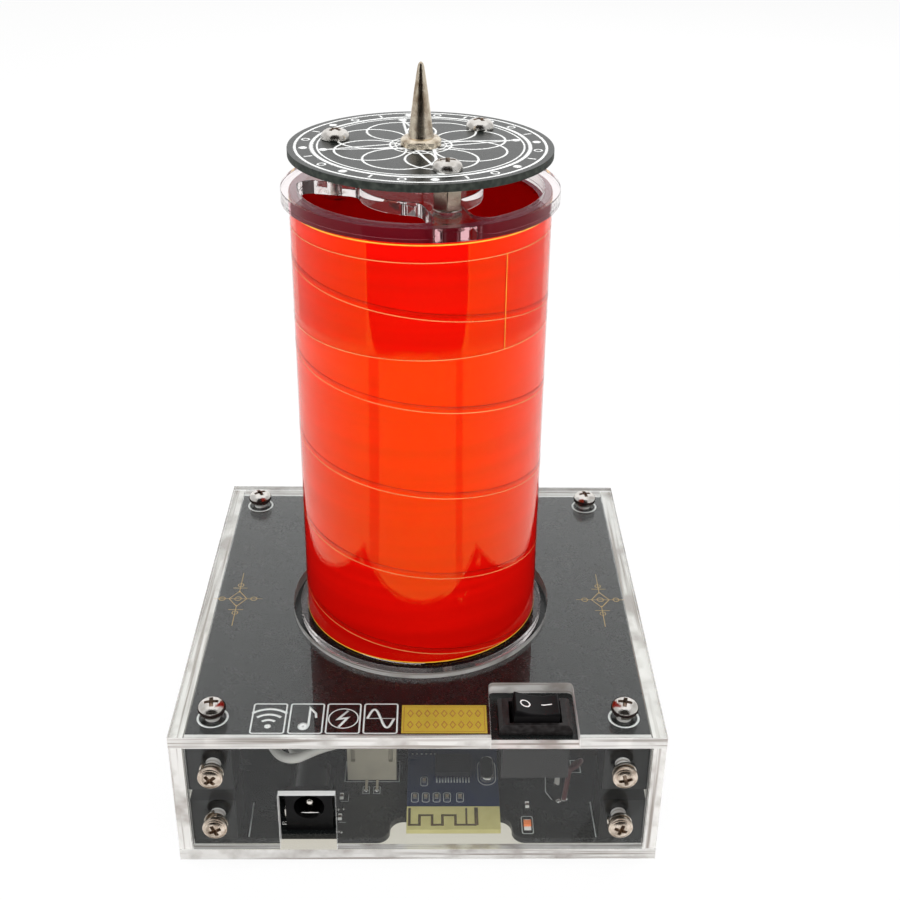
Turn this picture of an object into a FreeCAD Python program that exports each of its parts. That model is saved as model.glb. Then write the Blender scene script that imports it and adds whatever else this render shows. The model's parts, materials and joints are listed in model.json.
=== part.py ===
"""Desktop resonant transformer: a wound column on a clear case that holds its driver board.

The frame has +Z up and the origin at the bottom centre, with the supply inlet and the switch at -Y.
Every driving size is a cell of the sheet "sizes", and the levels worked out from them are cells too.
"""

import FreeCAD, Part
import math
import os
import re

import Sketcher

doc = FreeCAD.newDocument("resonant_transformer")
sheet = doc.addObject("Spreadsheet::Sheet", "sizes")

SIZES = {
    # Clear case.
    "case_width": 106.4,
    "case_depth": 106.4,
    "case_height": 35.0,
    "acrylic": 3.0,
    "wall_gap": 0.1,
    "foot_rise": 1.5,
    "foot_radius": 4.0,
    "foot_inset": 17.0,
    # Hardware, all of it M3.
    "screw_radius": 1.5,
    "thread_gap": 0.02,
    "hole_gap": 0.1,
    "head_radius": 3.0,
    "head_height": 2.2,
    "head_round": 1.2,
    "recess_span": 3.4,
    "recess_width": 0.8,
    "recess_depth": 1.3,
    "sunk_head_radius": 2.8,
    "spring_thickness": 0.8,
    "spring_radius": 2.8,
    "spring_split": 0.5,
    "screw_inset": 8.4,
    "wall_screw_inset": 9.0,
    "wall_screw_low": 12.2,
    "wall_screw_high": 26.5,
    "top_screw_length": 8.0,
    "wall_screw_length": 8.0,
    "wall_head_radius": 2.75,
    "wall_spring_height": 2.2,
    "sunk_screw_length": 8.0,
    "nut_flats": 5.5,
    "nut_height": 2.4,
    # Corner blocks.
    "block_side": 10.0,
    "block_height": 11.4,
    "block_gap": 0.1,
    # Circuit boards.
    "board_thickness": 1.6,
    "board_gap": 0.2,
    "bay_side_left": 3.7,
    "bay_side_right": 2.6,
    "bay_depth": 6.5,
    "bay_corner": 3.0,
    # Supply inlet.
    "jack_across": -24.45,
    "jack_setback": 4.4,
    "jack_width": 10.4,
    "jack_height": 11.0,
    "jack_face": 3.4,
    "jack_length": 14.2,
    "jack_bore_radius": 3.4,
    "jack_bore_depth": 10.0,
    "jack_axis_rise": 6.8,
    "jack_pin_radius": 1.0,
    "jack_pin_setback": 1.2,
    "jack_pin_cover": 1.0,
    "jack_step": 0.2,
    "side_contact_setback": 1.0,
    "contact_sheet": 0.4,
    "contact_width": 2.4,
    "jack_window_left": 6.25,
    "jack_window_right": 6.25,
    "jack_window_height": 15.7,
    # Rocker switch.
    "switch_across": 25.4,
    "switch_setback": 9.8,
    "bezel_length": 16.0,
    "bezel_depth": 11.0,
    "bezel_height": 2.0,
    "bezel_bevel": 0.9,
    "housing_length": 14.8,
    "housing_depth": 9.4,
    "housing_height": 11.6,
    "housing_fit": 0.1,
    "well_length": 11.4,
    "well_depth": 7.4,
    "well_floor": 2.4,
    "latch_height": 4.0,
    "latch_width": 5.0,
    "latch_out": 0.8,
    "rocker_length": 10.0,
    "rocker_width": 6.8,
    "rocker_edge_rise": 4.3,
    "rocker_middle_rise": 3.5,
    "rocker_skirt": 1.2,
    "rocker_half_travel": 5.0,
    "pivot_rise": 0.4,
    "pivot_radius": 0.8,
    "pivot_reach": 0.7,
    "pivot_gap": 0.05,
    "rocker_round": 0.4,
    "switch_bay_left": 1.9,
    "switch_bay_right": 1.0,
    "switch_bay_back": 3.3,
    "bay_round": 1.2,
    "blade_width": 3.0,
    "blade_thickness": 0.6,
    "blade_length": 5.4,
    "blade_spread": 3.6,
    "blade_proud": 0.6,
    "switch_lead_radius": 0.6,
    "white_pad_across": 32.4,
    "white_pad_setback": 17.6,
    "pad_rise": 5.9,
    "red_lead_reach": 5.5,
    "red_pad_across": 33.6,
    "red_pad_setback": 12.2,
    # Coil column.
    "tube_radius": 27.5,
    "tube_wall": 2.5,
    "tube_length": 101.5,
    "flange_radius": 29.5,
    "flange_gap": 1.7,
    "ring_radius": 26.0,
    "hub_radius": 13.2,
    "hub_bore": 3.0,
    "arm_width": 8.0,
    "arm_round": 3.0,
    "post_circle": 18.5,
    "post_angle": -73.0,
    "winding_thickness": 0.25,
    "winding_low": 0.4,
    "winding_high": 0.2,
    "film_thickness": 0.15,
    "film_low": 0.2,
    "film_high": 0.6,
    "lead_exit": 1.2,
    "lead_radius": 0.3,
    "lead_hole_radius": 0.6,
    # Top load.
    "post_flats": 5.5,
    "post_height": 6.0,
    "post_washer": 0.5,
    "post_washer_radius": 3.0,
    "post_screw_length": 6.0,
    "disc_screw_length": 4.0,
    "disc_radius": 27.7,
    "spike_height": 17.0,
    "spike_radius": 2.7,
    "spike_tip_radius": 0.6,
    "collar_radius": 4.25,
    "collar_height": 1.8,
    "collar_chamfer": 0.6,
    # Primary coil under the top board.
    "primary_radius": 33.0,
    "primary_wire_radius": 1.1,
    "primary_pitch": 2.4,
    "primary_turns": 3.0,
    "primary_drop": 1.5,
    "primary_start": 200.0,
    "former_wall": 1.5,
    "former_height": 10.5,
    "former_gap": 0.05,
    # Wireless module.
    "module_across": 7.8,
    "module_width": 21.2,
    "module_length": 27.0,
    "module_setback": 3.9,
    "module_thickness": 1.2,
    "solder_gap": 0.6,
    "aerial_length": 7.3,
    "module_chip_length": 8.3,
    "module_chip_width": 6.5,
    "module_chip_height": 1.5,
    "chip_setback": 20.2,
    "crystal_across": 8.0,
    "crystal_setback": 18.6,
    "part_row_setback": 2.9,
    "lone_part_across": 3.9,
    "lone_part_setback": 8.2,
    "crystal_length": 8.0,
    "crystal_width": 3.4,
    "crystal_height": 1.6,
    "chip_part_length": 1.6,
    "chip_part_width": 0.9,
    "chip_part_height": 0.6,
    # Lead connector.
    "header_across": -11.2,
    "header_setback": 18.8,
    "header_width": 11.5,
    "header_depth": 6.0,
    "header_height": 9.4,
    "header_wall": 0.9,
    "header_floor": 1.6,
    "header_slot_rise": 5.6,
    "contact_pitch": 2.5,
    "contact_side": 0.64,
    "contact_foot": 3.4,
    "contact_rise": 7.0,
    "plug_gap": 0.1,
    "plug_rise": 1.2,
    "lead_clearance": 3.5,
    "plug_lead_run": 3.4,
    # Power parts.
    "sink_width": 46.0,
    "sink_base": 3.0,
    "sink_gap": 1.9,
    "sink_height": 20.0,
    "sink_setback": 2.2,
    "fin_thickness": 1.2,
    "fin_gap": 2.68,
    "transistor_spread": 16.0,
    "transistor_width": 10.2,
    "transistor_body": 9.2,
    "transistor_depth": 4.4,
    "transistor_tab": 1.3,
    "transistor_height": 15.6,
    "transistor_rise": 1.5,
    "transistor_leg": 0.8,
    "transistor_leg_pitch": 2.54,
    "transistor_hole_drop": 2.8,
    "electrolytic_radius": 4.0,
    "electrolytic_height": 11.5,
    "electrolytic_inset": 7.2,
    "electrolytic_spread": 6.0,
    "film_cap_inset": 7.2,
    "film_cap_width": 7.0,
    "film_cap_length": 18.0,
    "film_cap_height": 11.0,
    "driver_width": 3.9,
    "driver_length": 4.9,
    "driver_height": 1.6,
    "driver_spread": 9.0,
    "driver_leg": 1.0,
    "driver_leg_width": 0.4,
    "driver_leg_pitch": 1.27,
    "driver_back": 14.0,
    "leg_thickness": 0.25,
    "electrolytic_groove": 0.4,
    "electrolytic_groove_rise": 2.0,
    "led_across": 24.6,
    "led_setback": 4.4,
    "lamp_part_across": 0.3,
    "lamp_part_setback": 5.9,
    "inlet_part_across": 6.45,
    "inlet_part_setback": 6.5,
    "inlet_part_spacing": 6.7,
    "filter_part_across": 9.0,
    "filter_part_setback": 26.0,
    "feedback_part_across": 24.0,
    "feedback_part_setback": 30.0,
}

LEVELS = {
    "floor_top": "=foot_rise + acrylic",
    "board_top": "=floor_top + board_thickness",
    "case_top": "=foot_rise + case_height",
    "roof_low": "=case_top - acrylic",
    "panel_low": "=roof_low - board_thickness",
    "inner_half_width": "=case_width / 2 - acrylic",
    "inner_half_depth": "=case_depth / 2 - acrylic",
    "board_half_width": "=inner_half_width - board_gap",
    "board_half_depth": "=inner_half_depth - board_gap",
    "screw_x": "=case_width / 2 - screw_inset",
    "screw_y": "=case_depth / 2 - screw_inset",
    "wall_screw_x": "=case_width / 2 - wall_screw_inset",
    "hole_radius": "=screw_radius + hole_gap",
    "tube_low": "=roof_low + acrylic",
    "tube_high": "=tube_low + tube_length",
    "crown_top": "=tube_high + acrylic",
    "post_low": "=crown_top + post_washer",
    "disc_low": "=post_low + post_height",
    "disc_top": "=disc_low + board_thickness",
    "switch_y": "=switch_setback - case_depth / 2",
    "jack_y": "=jack_setback - case_depth / 2",
    "jack_axis": "=board_top + jack_axis_rise",
    "pivot_level": "=roof_low + pivot_rise",
    "housing_low": "=roof_low - housing_height",
    "well_low": "=housing_low + well_floor",
    "blade_low": "=well_low + blade_proud - blade_length",
    "module_low": "=board_top + solder_gap",
    "module_top": "=module_low + module_thickness",
    "module_y": "=module_setback - case_depth / 2",
    "bay_left": "=module_across - module_width / 2 - bay_side_left",
    "bay_right": "=module_across + module_width / 2 + bay_side_right",
    "header_y": "=header_setback - inner_half_depth",
    "sink_y": "=primary_radius + primary_wire_radius + sink_gap",
    "sink_depth": "=inner_half_depth - sink_setback - sink_y",
    "electrolytic_x": "=electrolytic_inset - inner_half_width",
    "film_cap_x": "=inner_half_width - film_cap_inset",
}


def fill_sheet():
    """Write every driving size as text, and every level as a formula, each with its alias."""
    for row, (alias, content) in enumerate([*SIZES.items(), *LEVELS.items()], start=1):
        sheet.set(f"A{row}", alias)
        sheet.set(f"B{row}", str(content))
        sheet.setAlias(f"B{row}", alias)
    doc.recompute()


def sized(text):
    """Return an expression in which each alias is read from the sheet."""
    return re.sub(r"[a-z_]+", lambda word: "sizes." + word[0] if word[0] in ALIASES else word[0], str(text))


def value(text):
    """Return the number that an expression of aliases comes to."""
    return float(sheet.evalExpression(sized(text)))


def bind(item, **properties):
    """Bind properties of an object to expressions of aliases."""
    for name, text in properties.items():
        item.setExpression(name, sized(text))
    return item


def place(item, x="0", y="0", z="0", axis=None, angle=0):
    """Turn an object by a fixed angle and bind its position to the sheet."""
    if axis:
        item.Placement = FreeCAD.Placement(FreeCAD.Vector(), FreeCAD.Rotation(FreeCAD.Vector(*axis), angle))
    for letter, text in zip("xyz", (x, y, z)):
        item.setExpression(f"Placement.Base.{letter}", sized(text))
    return item


# Solids of the Part workbench.


def block(name, length, width, height, x="0", y="0", z="0"):
    """Make a box from its low corner."""
    item = doc.addObject("Part::Box", name)
    return place(bind(item, Length=length, Width=width, Height=height), x, y, z)


def centred_block(name, length, width, height, x="0", y="0", z="0"):
    """Make a box centred on x and y, standing on z."""
    return block(name, length, width, height, f"{x} - ({length}) / 2", f"{y} - ({width}) / 2", z)


def rod(name, radius, height, x="0", y="0", z="0", axis=None, angle=0):
    """Make a cylinder from the centre of its base."""
    item = doc.addObject("Part::Cylinder", name)
    return place(bind(item, Radius=radius, Height=height), x, y, z, axis, angle)


def hexagon(name, flats, height, x="0", y="0", z="0"):
    """Make a hexagonal bar from its width across flats."""
    item = doc.addObject("Part::Prism", name)
    item.Polygon = 6
    return place(bind(item, Circumradius=f"({flats}) / sqrt(3)", Height=height), x, y, z)


def cone(name, low_radius, high_radius, height, x="0", y="0", z="0"):
    """Make a cone from the centre of its base."""
    item = doc.addObject("Part::Cone", name)
    return place(bind(item, Radius1=low_radius, Radius2=high_radius, Height=height), x, y, z)


def join(name, pieces):
    """Fuse pieces that touch into one solid."""
    item = doc.addObject("Part::MultiFuse", name)
    item.Shapes = pieces
    item.Refine = True
    return item


def group(name, pieces):
    """Gather separate solids without fusing them."""
    item = doc.addObject("Part::Compound", name)
    item.Links = pieces
    return item


def cut(name, solid, tools):
    """Cut one or more tools out of a solid."""
    item = doc.addObject("Part::Cut", name)
    item.Base = solid
    item.Tool = tools[0] if len(tools) == 1 else group(f"{name}_tools", tools)
    return item


def round_edges(name, solid, radius, wanted):
    """Round the edges of a solid that the test named wanted accepts."""
    doc.recompute()
    item = doc.addObject("Part::Fillet", name)
    item.Base = solid
    size = value(radius)
    edges = enumerate(solid.Shape.Edges, start=1)
    item.Edges = [(number, size, size) for number, edge in edges if wanted(edge)]
    return item


def upright(edge):
    """Tell whether an edge stands straight up."""
    box = edge.BoundBox
    return box.ZLength > box.XLength + box.YLength


def copies(name, original, places, axis=None, angle=0):
    """Put a linked copy of a solid at each place and gather them as separate solids."""
    links = []
    for number, (x, y, z) in enumerate(places, start=1):
        link = doc.addObject("App::Link", f"{name}_{number}")
        link.LinkedObject = original
        link.LinkTransform = False
        links.append(place(link, x, y, z, axis, angle))
    return group(name, links)


# Bodies of the PartDesign workbench.


def new_sketch(body, name, role):
    """Add a sketch on one of the origin planes of its own body."""
    sketch = body.newObject("Sketcher::SketchObject", name)
    plane = next(item for item in body.Origin.OriginFeatures if item.Role == role)
    sketch.AttachmentSupport = [(plane, "")]
    sketch.MapMode = "FlatFace"
    return sketch


def fix_point(sketch, geometry, point, name, x, y):
    """Hold a point of a sketch at expressions measured from the sketch's origin."""
    for letter, text in (("X", x), ("Y", y)):
        constraint = Sketcher.Constraint(f"Distance{letter}", -1, 1, geometry, point, value(text))
        label = f"{name}_{letter.lower()}"
        sketch.renameConstraint(sketch.addConstraint(constraint), label)
        sketch.setExpression(f"Constraints.{label}", sized(text))


def draw_outline(sketch, name, points):
    """Draw a closed outline through points given as pairs of expressions."""
    corners = [FreeCAD.Vector(value(x), value(y), 0) for x, y in points]
    first = sketch.GeometryCount
    count = len(points)
    for number in range(count):
        sketch.addGeometry(Part.LineSegment(corners[number], corners[(number + 1) % count]))
    for number in range(count):
        following = first + (number + 1) % count
        sketch.addConstraint(Sketcher.Constraint("Coincident", first + number, 2, following, 1))
    for number, (x, y) in enumerate(points):
        fix_point(sketch, first + number, 1, f"{name}{number}", x, y)


def draw_circle(sketch, name, x, y, radius):
    """Draw a circle whose centre and radius are bound to expressions."""
    centre = FreeCAD.Vector(value(x), value(y), 0)
    circle = sketch.addGeometry(Part.Circle(centre, FreeCAD.Vector(0, 0, 1), value(radius)))
    fix_point(sketch, circle, 3, name, x, y)
    constraint = Sketcher.Constraint("Radius", circle, value(radius))
    sketch.renameConstraint(sketch.addConstraint(constraint), f"{name}_r")
    sketch.setExpression(f"Constraints.{name}_r", sized(radius))


def plate(name, role, outline, circles, thickness, x="0", y="0", z="0", backwards=False):
    """Pad a sheet from an outline of points, with round holes given as (x, y, radius)."""
    body = doc.addObject("PartDesign::Body", name)
    sketch = new_sketch(body, f"{name}_sketch", role)
    if outline:
        draw_outline(sketch, "corner", outline)
    for number, (hole_x, hole_y, radius) in enumerate(circles):
        draw_circle(sketch, f"hole{number}", hole_x, hole_y, radius)
    pad = body.newObject("PartDesign::Pad", f"{name}_pad")
    pad.Profile = sketch
    pad.Reversed = backwards
    bind(pad, Length=thickness)
    return place(body, x, y, z)


def turned(name, outline, x="0", y="0", z="0"):
    """Turn an outline of (radius, height) points about the vertical axis."""
    body = doc.addObject("PartDesign::Body", name)
    sketch = new_sketch(body, f"{name}_sketch", "XZ_Plane")
    draw_outline(sketch, "corner", outline)
    turn = body.newObject("PartDesign::Revolution", f"{name}_turn")
    turn.Profile = sketch
    turn.ReferenceAxis = (sketch, ["V_Axis"])
    turn.Angle = 360
    return place(body, x, y, z)


def rectangle(half_width, half_height):
    """Return the corners of a rectangle about the origin."""
    return [(f"{sx} * ({half_width})", f"{sy} * ({half_height})") for sx, sy in CORNERS]


def pipe(name, points, radius):
    """Bend a round wire along straight runs joined by tangent arcs, points given as expressions."""
    route = [FreeCAD.Vector(*(value(text) for text in point)) for point in points]
    edges = []
    start = route[0]
    for before, corner, after in zip(route, route[1:], route[2:]):
        inward = (corner - before).normalize()
        outward = (after - corner).normalize()
        run = BEND_SHARE * min((corner - before).Length, (after - corner).Length)
        enter = corner - inward * run
        leave = corner + outward * run
        bisector = (outward - inward).normalize()
        half_turn = inward.getAngle(outward) / 2
        middle = corner + bisector * (run / math.tan(half_turn) * (1 / math.cos(half_turn) - 1))
        edges += [Part.makeLine(start, enter), Part.Arc(enter, middle, leave).toShape()]
        start = leave
    edges.append(Part.makeLine(start, route[-1]))
    path = Part.Wire(edges)
    circle = Part.makeCircle(value(radius), route[0], route[1] - route[0])
    item = doc.addObject("Part::Feature", name)
    item.Shape = path.makePipeShell([Part.Wire(circle)], True, False)
    return item


CORNERS = ((-1, -1), (1, -1), (1, 1), (-1, 1))
BEND_SHARE = 0.45
NEAR = 0.01
ALIASES = {*SIZES, *LEVELS}
FACING_FRONT = ((1, 0, 0), 90)
FACING_BACK = ((1, 0, 0), -90)
UPSIDE_DOWN = ((1, 0, 0), 180)
CORNER_FORWARD = ((0, 0, 1), 30)
THIRDS = (0, 120, 240)
BOTH_SIDES = (-1, 1)


# Fasteners, each modelled once with its bearing face at z = 0 and its shank below.


def pan_screw(name, length, radius="head_radius"):
    """Make a pan-head screw with a cross recess."""
    head = rod(f"{name}_head", radius, "head_height")
    top = value("head_height")
    domed = round_edges(f"{name}_dome", head, "head_round", lambda edge: edge.BoundBox.ZMin > top / 2)
    shank = rod(f"{name}_shank", "screw_radius", length, z=f"-({length})")
    solid = join(f"{name}_solid", [domed, shank])
    floor = "head_height - recess_depth"
    slots = [
        centred_block(f"{name}_slot_x", "recess_span", "recess_width", "recess_depth + 1", z=floor),
        centred_block(f"{name}_slot_y", "recess_width", "recess_span", "recess_depth + 1", z=floor),
    ]
    return cut(name, solid, slots)


def sunk_screw(name, length):
    """Make a countersunk screw with its flat face at z = 0 and its shank below."""
    depth = "sunk_head_radius - screw_radius"
    head = cone(f"{name}_head", "screw_radius", "sunk_head_radius", depth, z=f"-({depth})")
    shank = rod(f"{name}_shank", "screw_radius", length, z=f"-({length})")
    solid = join(f"{name}_solid", [head, shank])
    slots = [
        centred_block(f"{name}_slot_x", "recess_span", "recess_width", "recess_depth", z="-recess_depth"),
        centred_block(f"{name}_slot_y", "recess_width", "recess_span", "recess_depth", z="-recess_depth"),
    ]
    return cut(name, solid, slots)


def spring_washer(name, height="spring_thickness"):
    """Make a split spring washer lying on z = 0."""
    body = rod(f"{name}_rim", "spring_radius", height)
    hole = rod(f"{name}_hole", "hole_radius", f"{height} + 2", z="-1")
    split = block(
        f"{name}_split", "spring_split", "spring_radius + 1", f"{height} + 2",
        "-spring_split / 2", "0", "-1",
    )
    return cut(name, body, [hole, split])


def on_corners(x, y, z):
    """Return the four places at plus and minus x and y."""
    return [(f"{sx} * ({x})", f"{sy} * ({y})", z) for sx, sy in CORNERS]


def on_posts(z, radius="post_circle"):
    """Return the three places of the standoffs, a third of a turn apart."""
    angles = [f"(post_angle + {turn}) * 1 deg" for turn in THIRDS]
    return [(f"({radius}) * cos({angle})", f"({radius}) * sin({angle})", z) for angle in angles]


def make_fasteners():
    """Make the screws, washers and nuts that hold the case and the column."""
    spring = spring_washer("spring_washer_blank")
    top_screw = pan_screw("top_screw_blank", "top_screw_length")
    wall_screw = pan_screw("wall_screw_blank", "wall_screw_length", "wall_head_radius")
    open_spring = spring_washer("open_spring_blank", "wall_spring_height")
    sunk = sunk_screw("sunk_screw_blank", "sunk_screw_length")
    post_screw = pan_screw("post_screw_blank", "post_screw_length")
    disc_screw = pan_screw("disc_screw_blank", "disc_screw_length")
    copies("top_screws", top_screw, on_corners("screw_x", "screw_y", "case_top + spring_thickness"))
    copies("top_spring_washers", spring, on_corners("screw_x", "screw_y", "case_top"))
    screws, washers = [], []
    for side, facing, sign in (("front", FACING_FRONT, -1), ("back", FACING_BACK, 1)):
        places = [
            (f"{sx} * wall_screw_x", f"{sign} * case_depth / 2", f"foot_rise + {level}")
            for sx in (-1, 1)
            for level in ("wall_screw_low", "wall_screw_high")
        ]
        heads = [(x, f"{y} + {sign} * wall_spring_height", z) for x, y, z in places]
        screws.append(copies(f"{side}_screws", wall_screw, heads, *facing))
        washers.append(copies(f"{side}_spring_washers", open_spring, places, *facing))
    group("wall_screws", screws)
    group("wall_spring_washers", washers)
    copies("bottom_screws", sunk, on_corners("screw_x", "screw_y", "foot_rise"), *UPSIDE_DOWN)
    copies("column_screws", post_screw, on_posts("tube_high"), *UPSIDE_DOWN)
    copies("disc_screws", disc_screw, on_posts("disc_top"))
    copies("bottom_flange_screws", top_screw, on_posts("panel_low"), *UPSIDE_DOWN)
    nut = cut("nut_blank", hexagon("nut_bar", "nut_flats", "nut_height"), [
        rod("nut_bore", "screw_radius + thread_gap", "nut_height + 2", z="-1")
    ])
    copies("bottom_flange_nuts", nut, on_posts("tube_low"))


# Case.


def make_case():
    """Make the six clear plates, the corner blocks and the feet."""
    half_width, half_depth = "case_width / 2", "case_depth / 2"
    outline = rectangle(half_width, half_depth)
    corners = [(x, y, "hole_radius") for x, y, _ in on_corners("screw_x", "screw_y", "0")]
    bottom = plate("bottom_plate_sheet", "XY_Plane", outline, corners, "acrylic", z="foot_rise")
    sink_depth = "sunk_head_radius - screw_radius"
    sinks = [
        cone(
            f"bottom_plate_sink_{number}", "sunk_head_radius + hole_gap", "hole_radius", sink_depth,
            x, y, "foot_rise",
        )
        for number, (x, y, _) in enumerate(corners)
    ]
    cut("bottom_plate", bottom, sinks)

    bay_left = "switch_across - bezel_length / 2 - switch_bay_left"
    bay_right = "switch_across + bezel_length / 2 + switch_bay_right"
    bay_back = "switch_y + bezel_depth / 2 + switch_bay_back"
    top_outline = [
        (f"-({half_width})", f"-({half_depth})"),
        (bay_left, f"-({half_depth})"),
        (bay_left, bay_back),
        (bay_right, bay_back),
        (bay_right, f"-({half_depth})"),
        (half_width, f"-({half_depth})"),
        (half_width, half_depth),
        (f"-({half_width})", half_depth),
    ]
    coil_hole = [("0", "0", "flange_radius + flange_gap")]
    top = plate("top_plate_sheet", "XY_Plane", top_outline, corners + coil_hole, "acrylic", z="roof_low")
    left, right, back = value(bay_left), value(bay_right), value(bay_back)

    def inner_corner(edge):
        """Tell whether an edge is an upright one at the back of the switch bay."""
        middle = edge.CenterOfMass
        beside = min(abs(middle.x - left), abs(middle.x - right)) < NEAR
        return upright(edge) and beside and abs(middle.y - back) < NEAR

    round_edges("top_plate", top, "bay_round", inner_corner)

    wall_height = "roof_low - floor_top"
    wall_half = "inner_half_width - wall_gap"
    wall_holes = [
        (f"{sx} * wall_screw_x", f"{level} - acrylic", "hole_radius")
        for sx in (-1, 1)
        for level in ("wall_screw_low", "wall_screw_high")
    ]
    window_left = "jack_across - jack_window_left"
    window_right = "jack_across + jack_window_right"
    front_outline = [
        (f"-({wall_half})", "0"),
        (window_left, "0"),
        (window_left, "jack_window_height"),
        (window_right, "jack_window_height"),
        (window_right, "0"),
        (wall_half, "0"),
        (wall_half, wall_height),
        (f"-({wall_half})", wall_height),
    ]
    back_outline = [
        (f"-({wall_half})", "0"),
        (wall_half, "0"),
        (wall_half, wall_height),
        (f"-({wall_half})", wall_height),
    ]
    for name, outline, y in (
        ("front_plate", front_outline, "-inner_half_depth"),
        ("back_plate", back_outline, half_depth),
    ):
        plate(name, "XZ_Plane", outline, wall_holes, "acrylic", y=y, z="floor_top")
    for side, x in (("left", f"-({half_width})"), ("right", "inner_half_width")):
        block(f"{side}_side_plate", "acrylic", "case_depth", wall_height, x, f"-({half_depth})", "floor_top")

    foot = rod("foot_blank", "foot_radius", "foot_rise")
    copies("rubber_feet", foot, on_corners("case_width / 2 - foot_inset", "case_depth / 2 - foot_inset", "0"))


def make_corner_blocks():
    """Make the four blocks on the main board and the four under the top board, with their threads."""
    thread = "screw_radius + thread_gap"
    tiers = (
        ("lower", "board_top", "wall_screw_low", "foot_rise + sunk_screw_length - board_top"),
        ("upper", "panel_low - block_height", "wall_screw_high",
         "top_screw_length + panel_low - case_top - spring_thickness"),
    )
    for tier, low, level, upright_depth in tiers:
        blocks = []
        for number, (sx, sy) in enumerate(CORNERS):
            x = f"{sx} * (inner_half_width - block_gap - block_side / 2)"
            y = f"{sy} * (inner_half_depth - block_side / 2)"
            name = f"{tier}_block_{number}"
            solid = centred_block(f"{name}_solid", "block_side", "block_side", "block_height", x, y, low)
            start = low if tier == "lower" else f"panel_low - ({upright_depth})"
            upright_at = (f"{sx} * screw_x", f"{sy} * screw_y", start)
            upright_hole = rod(f"{name}_upright", thread, upright_depth, *upright_at)
            reach = "wall_screw_length - wall_spring_height - acrylic"
            axis, angle = FACING_FRONT if sy > 0 else FACING_BACK
            level_hole = rod(
                f"{name}_level", thread, reach, f"{sx} * wall_screw_x", f"{sy} * inner_half_depth",
                f"foot_rise + {level}", axis, angle,
            )
            blocks.append(cut(name, solid, [upright_hole, level_hole]))
        group(f"{tier}_corner_blocks", blocks)


# Circuit boards.


def make_boards():
    """Make the notched main board and the top board with its switch and screw holes."""
    half_width, half_depth = "board_half_width", "board_half_depth"
    corners = [(x, y, "hole_radius") for x, y, _ in on_corners("screw_x", "screw_y", "0")]
    outline = [
        (f"-{half_width}", f"-{half_depth}"),
        ("bay_left", f"-{half_depth}"),
        ("bay_left", f"bay_depth - {half_depth}"),
        ("bay_right", f"bay_depth - {half_depth}"),
        ("bay_right", f"-{half_depth}"),
        (half_width, f"-{half_depth}"),
        (half_width, half_depth),
        (f"-{half_width}", half_depth),
    ]
    main = plate("main_board_sheet", "XY_Plane", outline, corners, "board_thickness", z="floor_top")
    front = value("-board_half_depth")
    bay_back = value("bay_depth - board_half_depth")
    sides = (value("bay_left"), value("bay_right"))

    def bay_edge(edge):
        """Tell whether an edge is an upright one at a corner of the front bay."""
        middle = edge.CenterOfMass
        beside = min(abs(middle.x - side) for side in sides) < NEAR
        return upright(edge) and beside and min(abs(middle.y - front), abs(middle.y - bay_back)) < NEAR

    round_edges("main_board", main, "bay_corner", bay_edge)

    panel_holes = corners + [(x, y, "hole_radius") for x, y, _ in on_posts("0")]
    panel_holes.append(("0", "(ring_radius + hub_radius) / 2", "lead_hole_radius"))
    panel = plate(
        "top_board_sheet", "XY_Plane", rectangle(half_width, half_depth), panel_holes, "board_thickness",
        z="panel_low",
    )
    window = centred_block(
        "top_board_switch_window", "housing_length + 2 * housing_fit", "housing_depth + 2 * housing_fit",
        "board_thickness + 2", "switch_across", "switch_y", "panel_low - 1",
    )
    cut("top_board", panel, [window])


# Column.


def flange(name, z):
    """Make a clear ring with a hub on three arms, each arm with a screw hole."""
    thickness = "acrylic"
    rim = rod(f"{name}_rim", "flange_radius", thickness, z=z)
    opening = rod(f"{name}_opening", "ring_radius", f"{thickness} + 2", z=f"{z} - 1")
    ring = cut(f"{name}_ring", rim, [opening])
    spokes = [rod(f"{name}_hub", "hub_radius", thickness, z=z)]
    for number, turn in enumerate(THIRDS):
        arm = doc.addObject("Part::Box", f"{name}_arm_{number}")
        bind(arm, Length="(ring_radius + flange_radius) / 2", Width="arm_width", Height=thickness)
        angle = value("post_angle") + turn
        turned_by = FreeCAD.Rotation(FreeCAD.Vector(0, 0, 1), angle)
        arm.Placement = FreeCAD.Placement(FreeCAD.Vector(), turned_by)
        side = f"(post_angle + {turn}) * 1 deg"
        spokes.append(place(arm, f"arm_width / 2 * sin({side})", f"-arm_width / 2 * cos({side})", z))
    body = join(f"{name}_body", [ring, *spokes])
    limit = value("ring_radius")

    def inner_corner(edge):
        """Tell whether an edge is an upright one where an arm meets the hub or the ring."""
        middle = edge.CenterOfMass
        return upright(edge) and math.hypot(middle.x, middle.y) < limit + NEAR

    rounded = round_edges(f"{name}_rounded", body, "arm_round", inner_corner)
    holes = [
        rod(f"{name}_hole_{number}", "hole_radius", f"{thickness} + 2", x, y, level)
        for number, (x, y, level) in enumerate(on_posts(f"{z} - 1"))
    ]
    holes.append(rod(f"{name}_bore", "hub_bore", f"{thickness} + 2", z=f"{z} - 1"))
    return cut(name, rounded, holes)


def sleeve(name, outer, inner, height, z):
    """Pad a ring between two radii."""
    return plate(name, "XY_Plane", None, [("0", "0", outer), ("0", "0", inner)], height, z=z)


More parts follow.
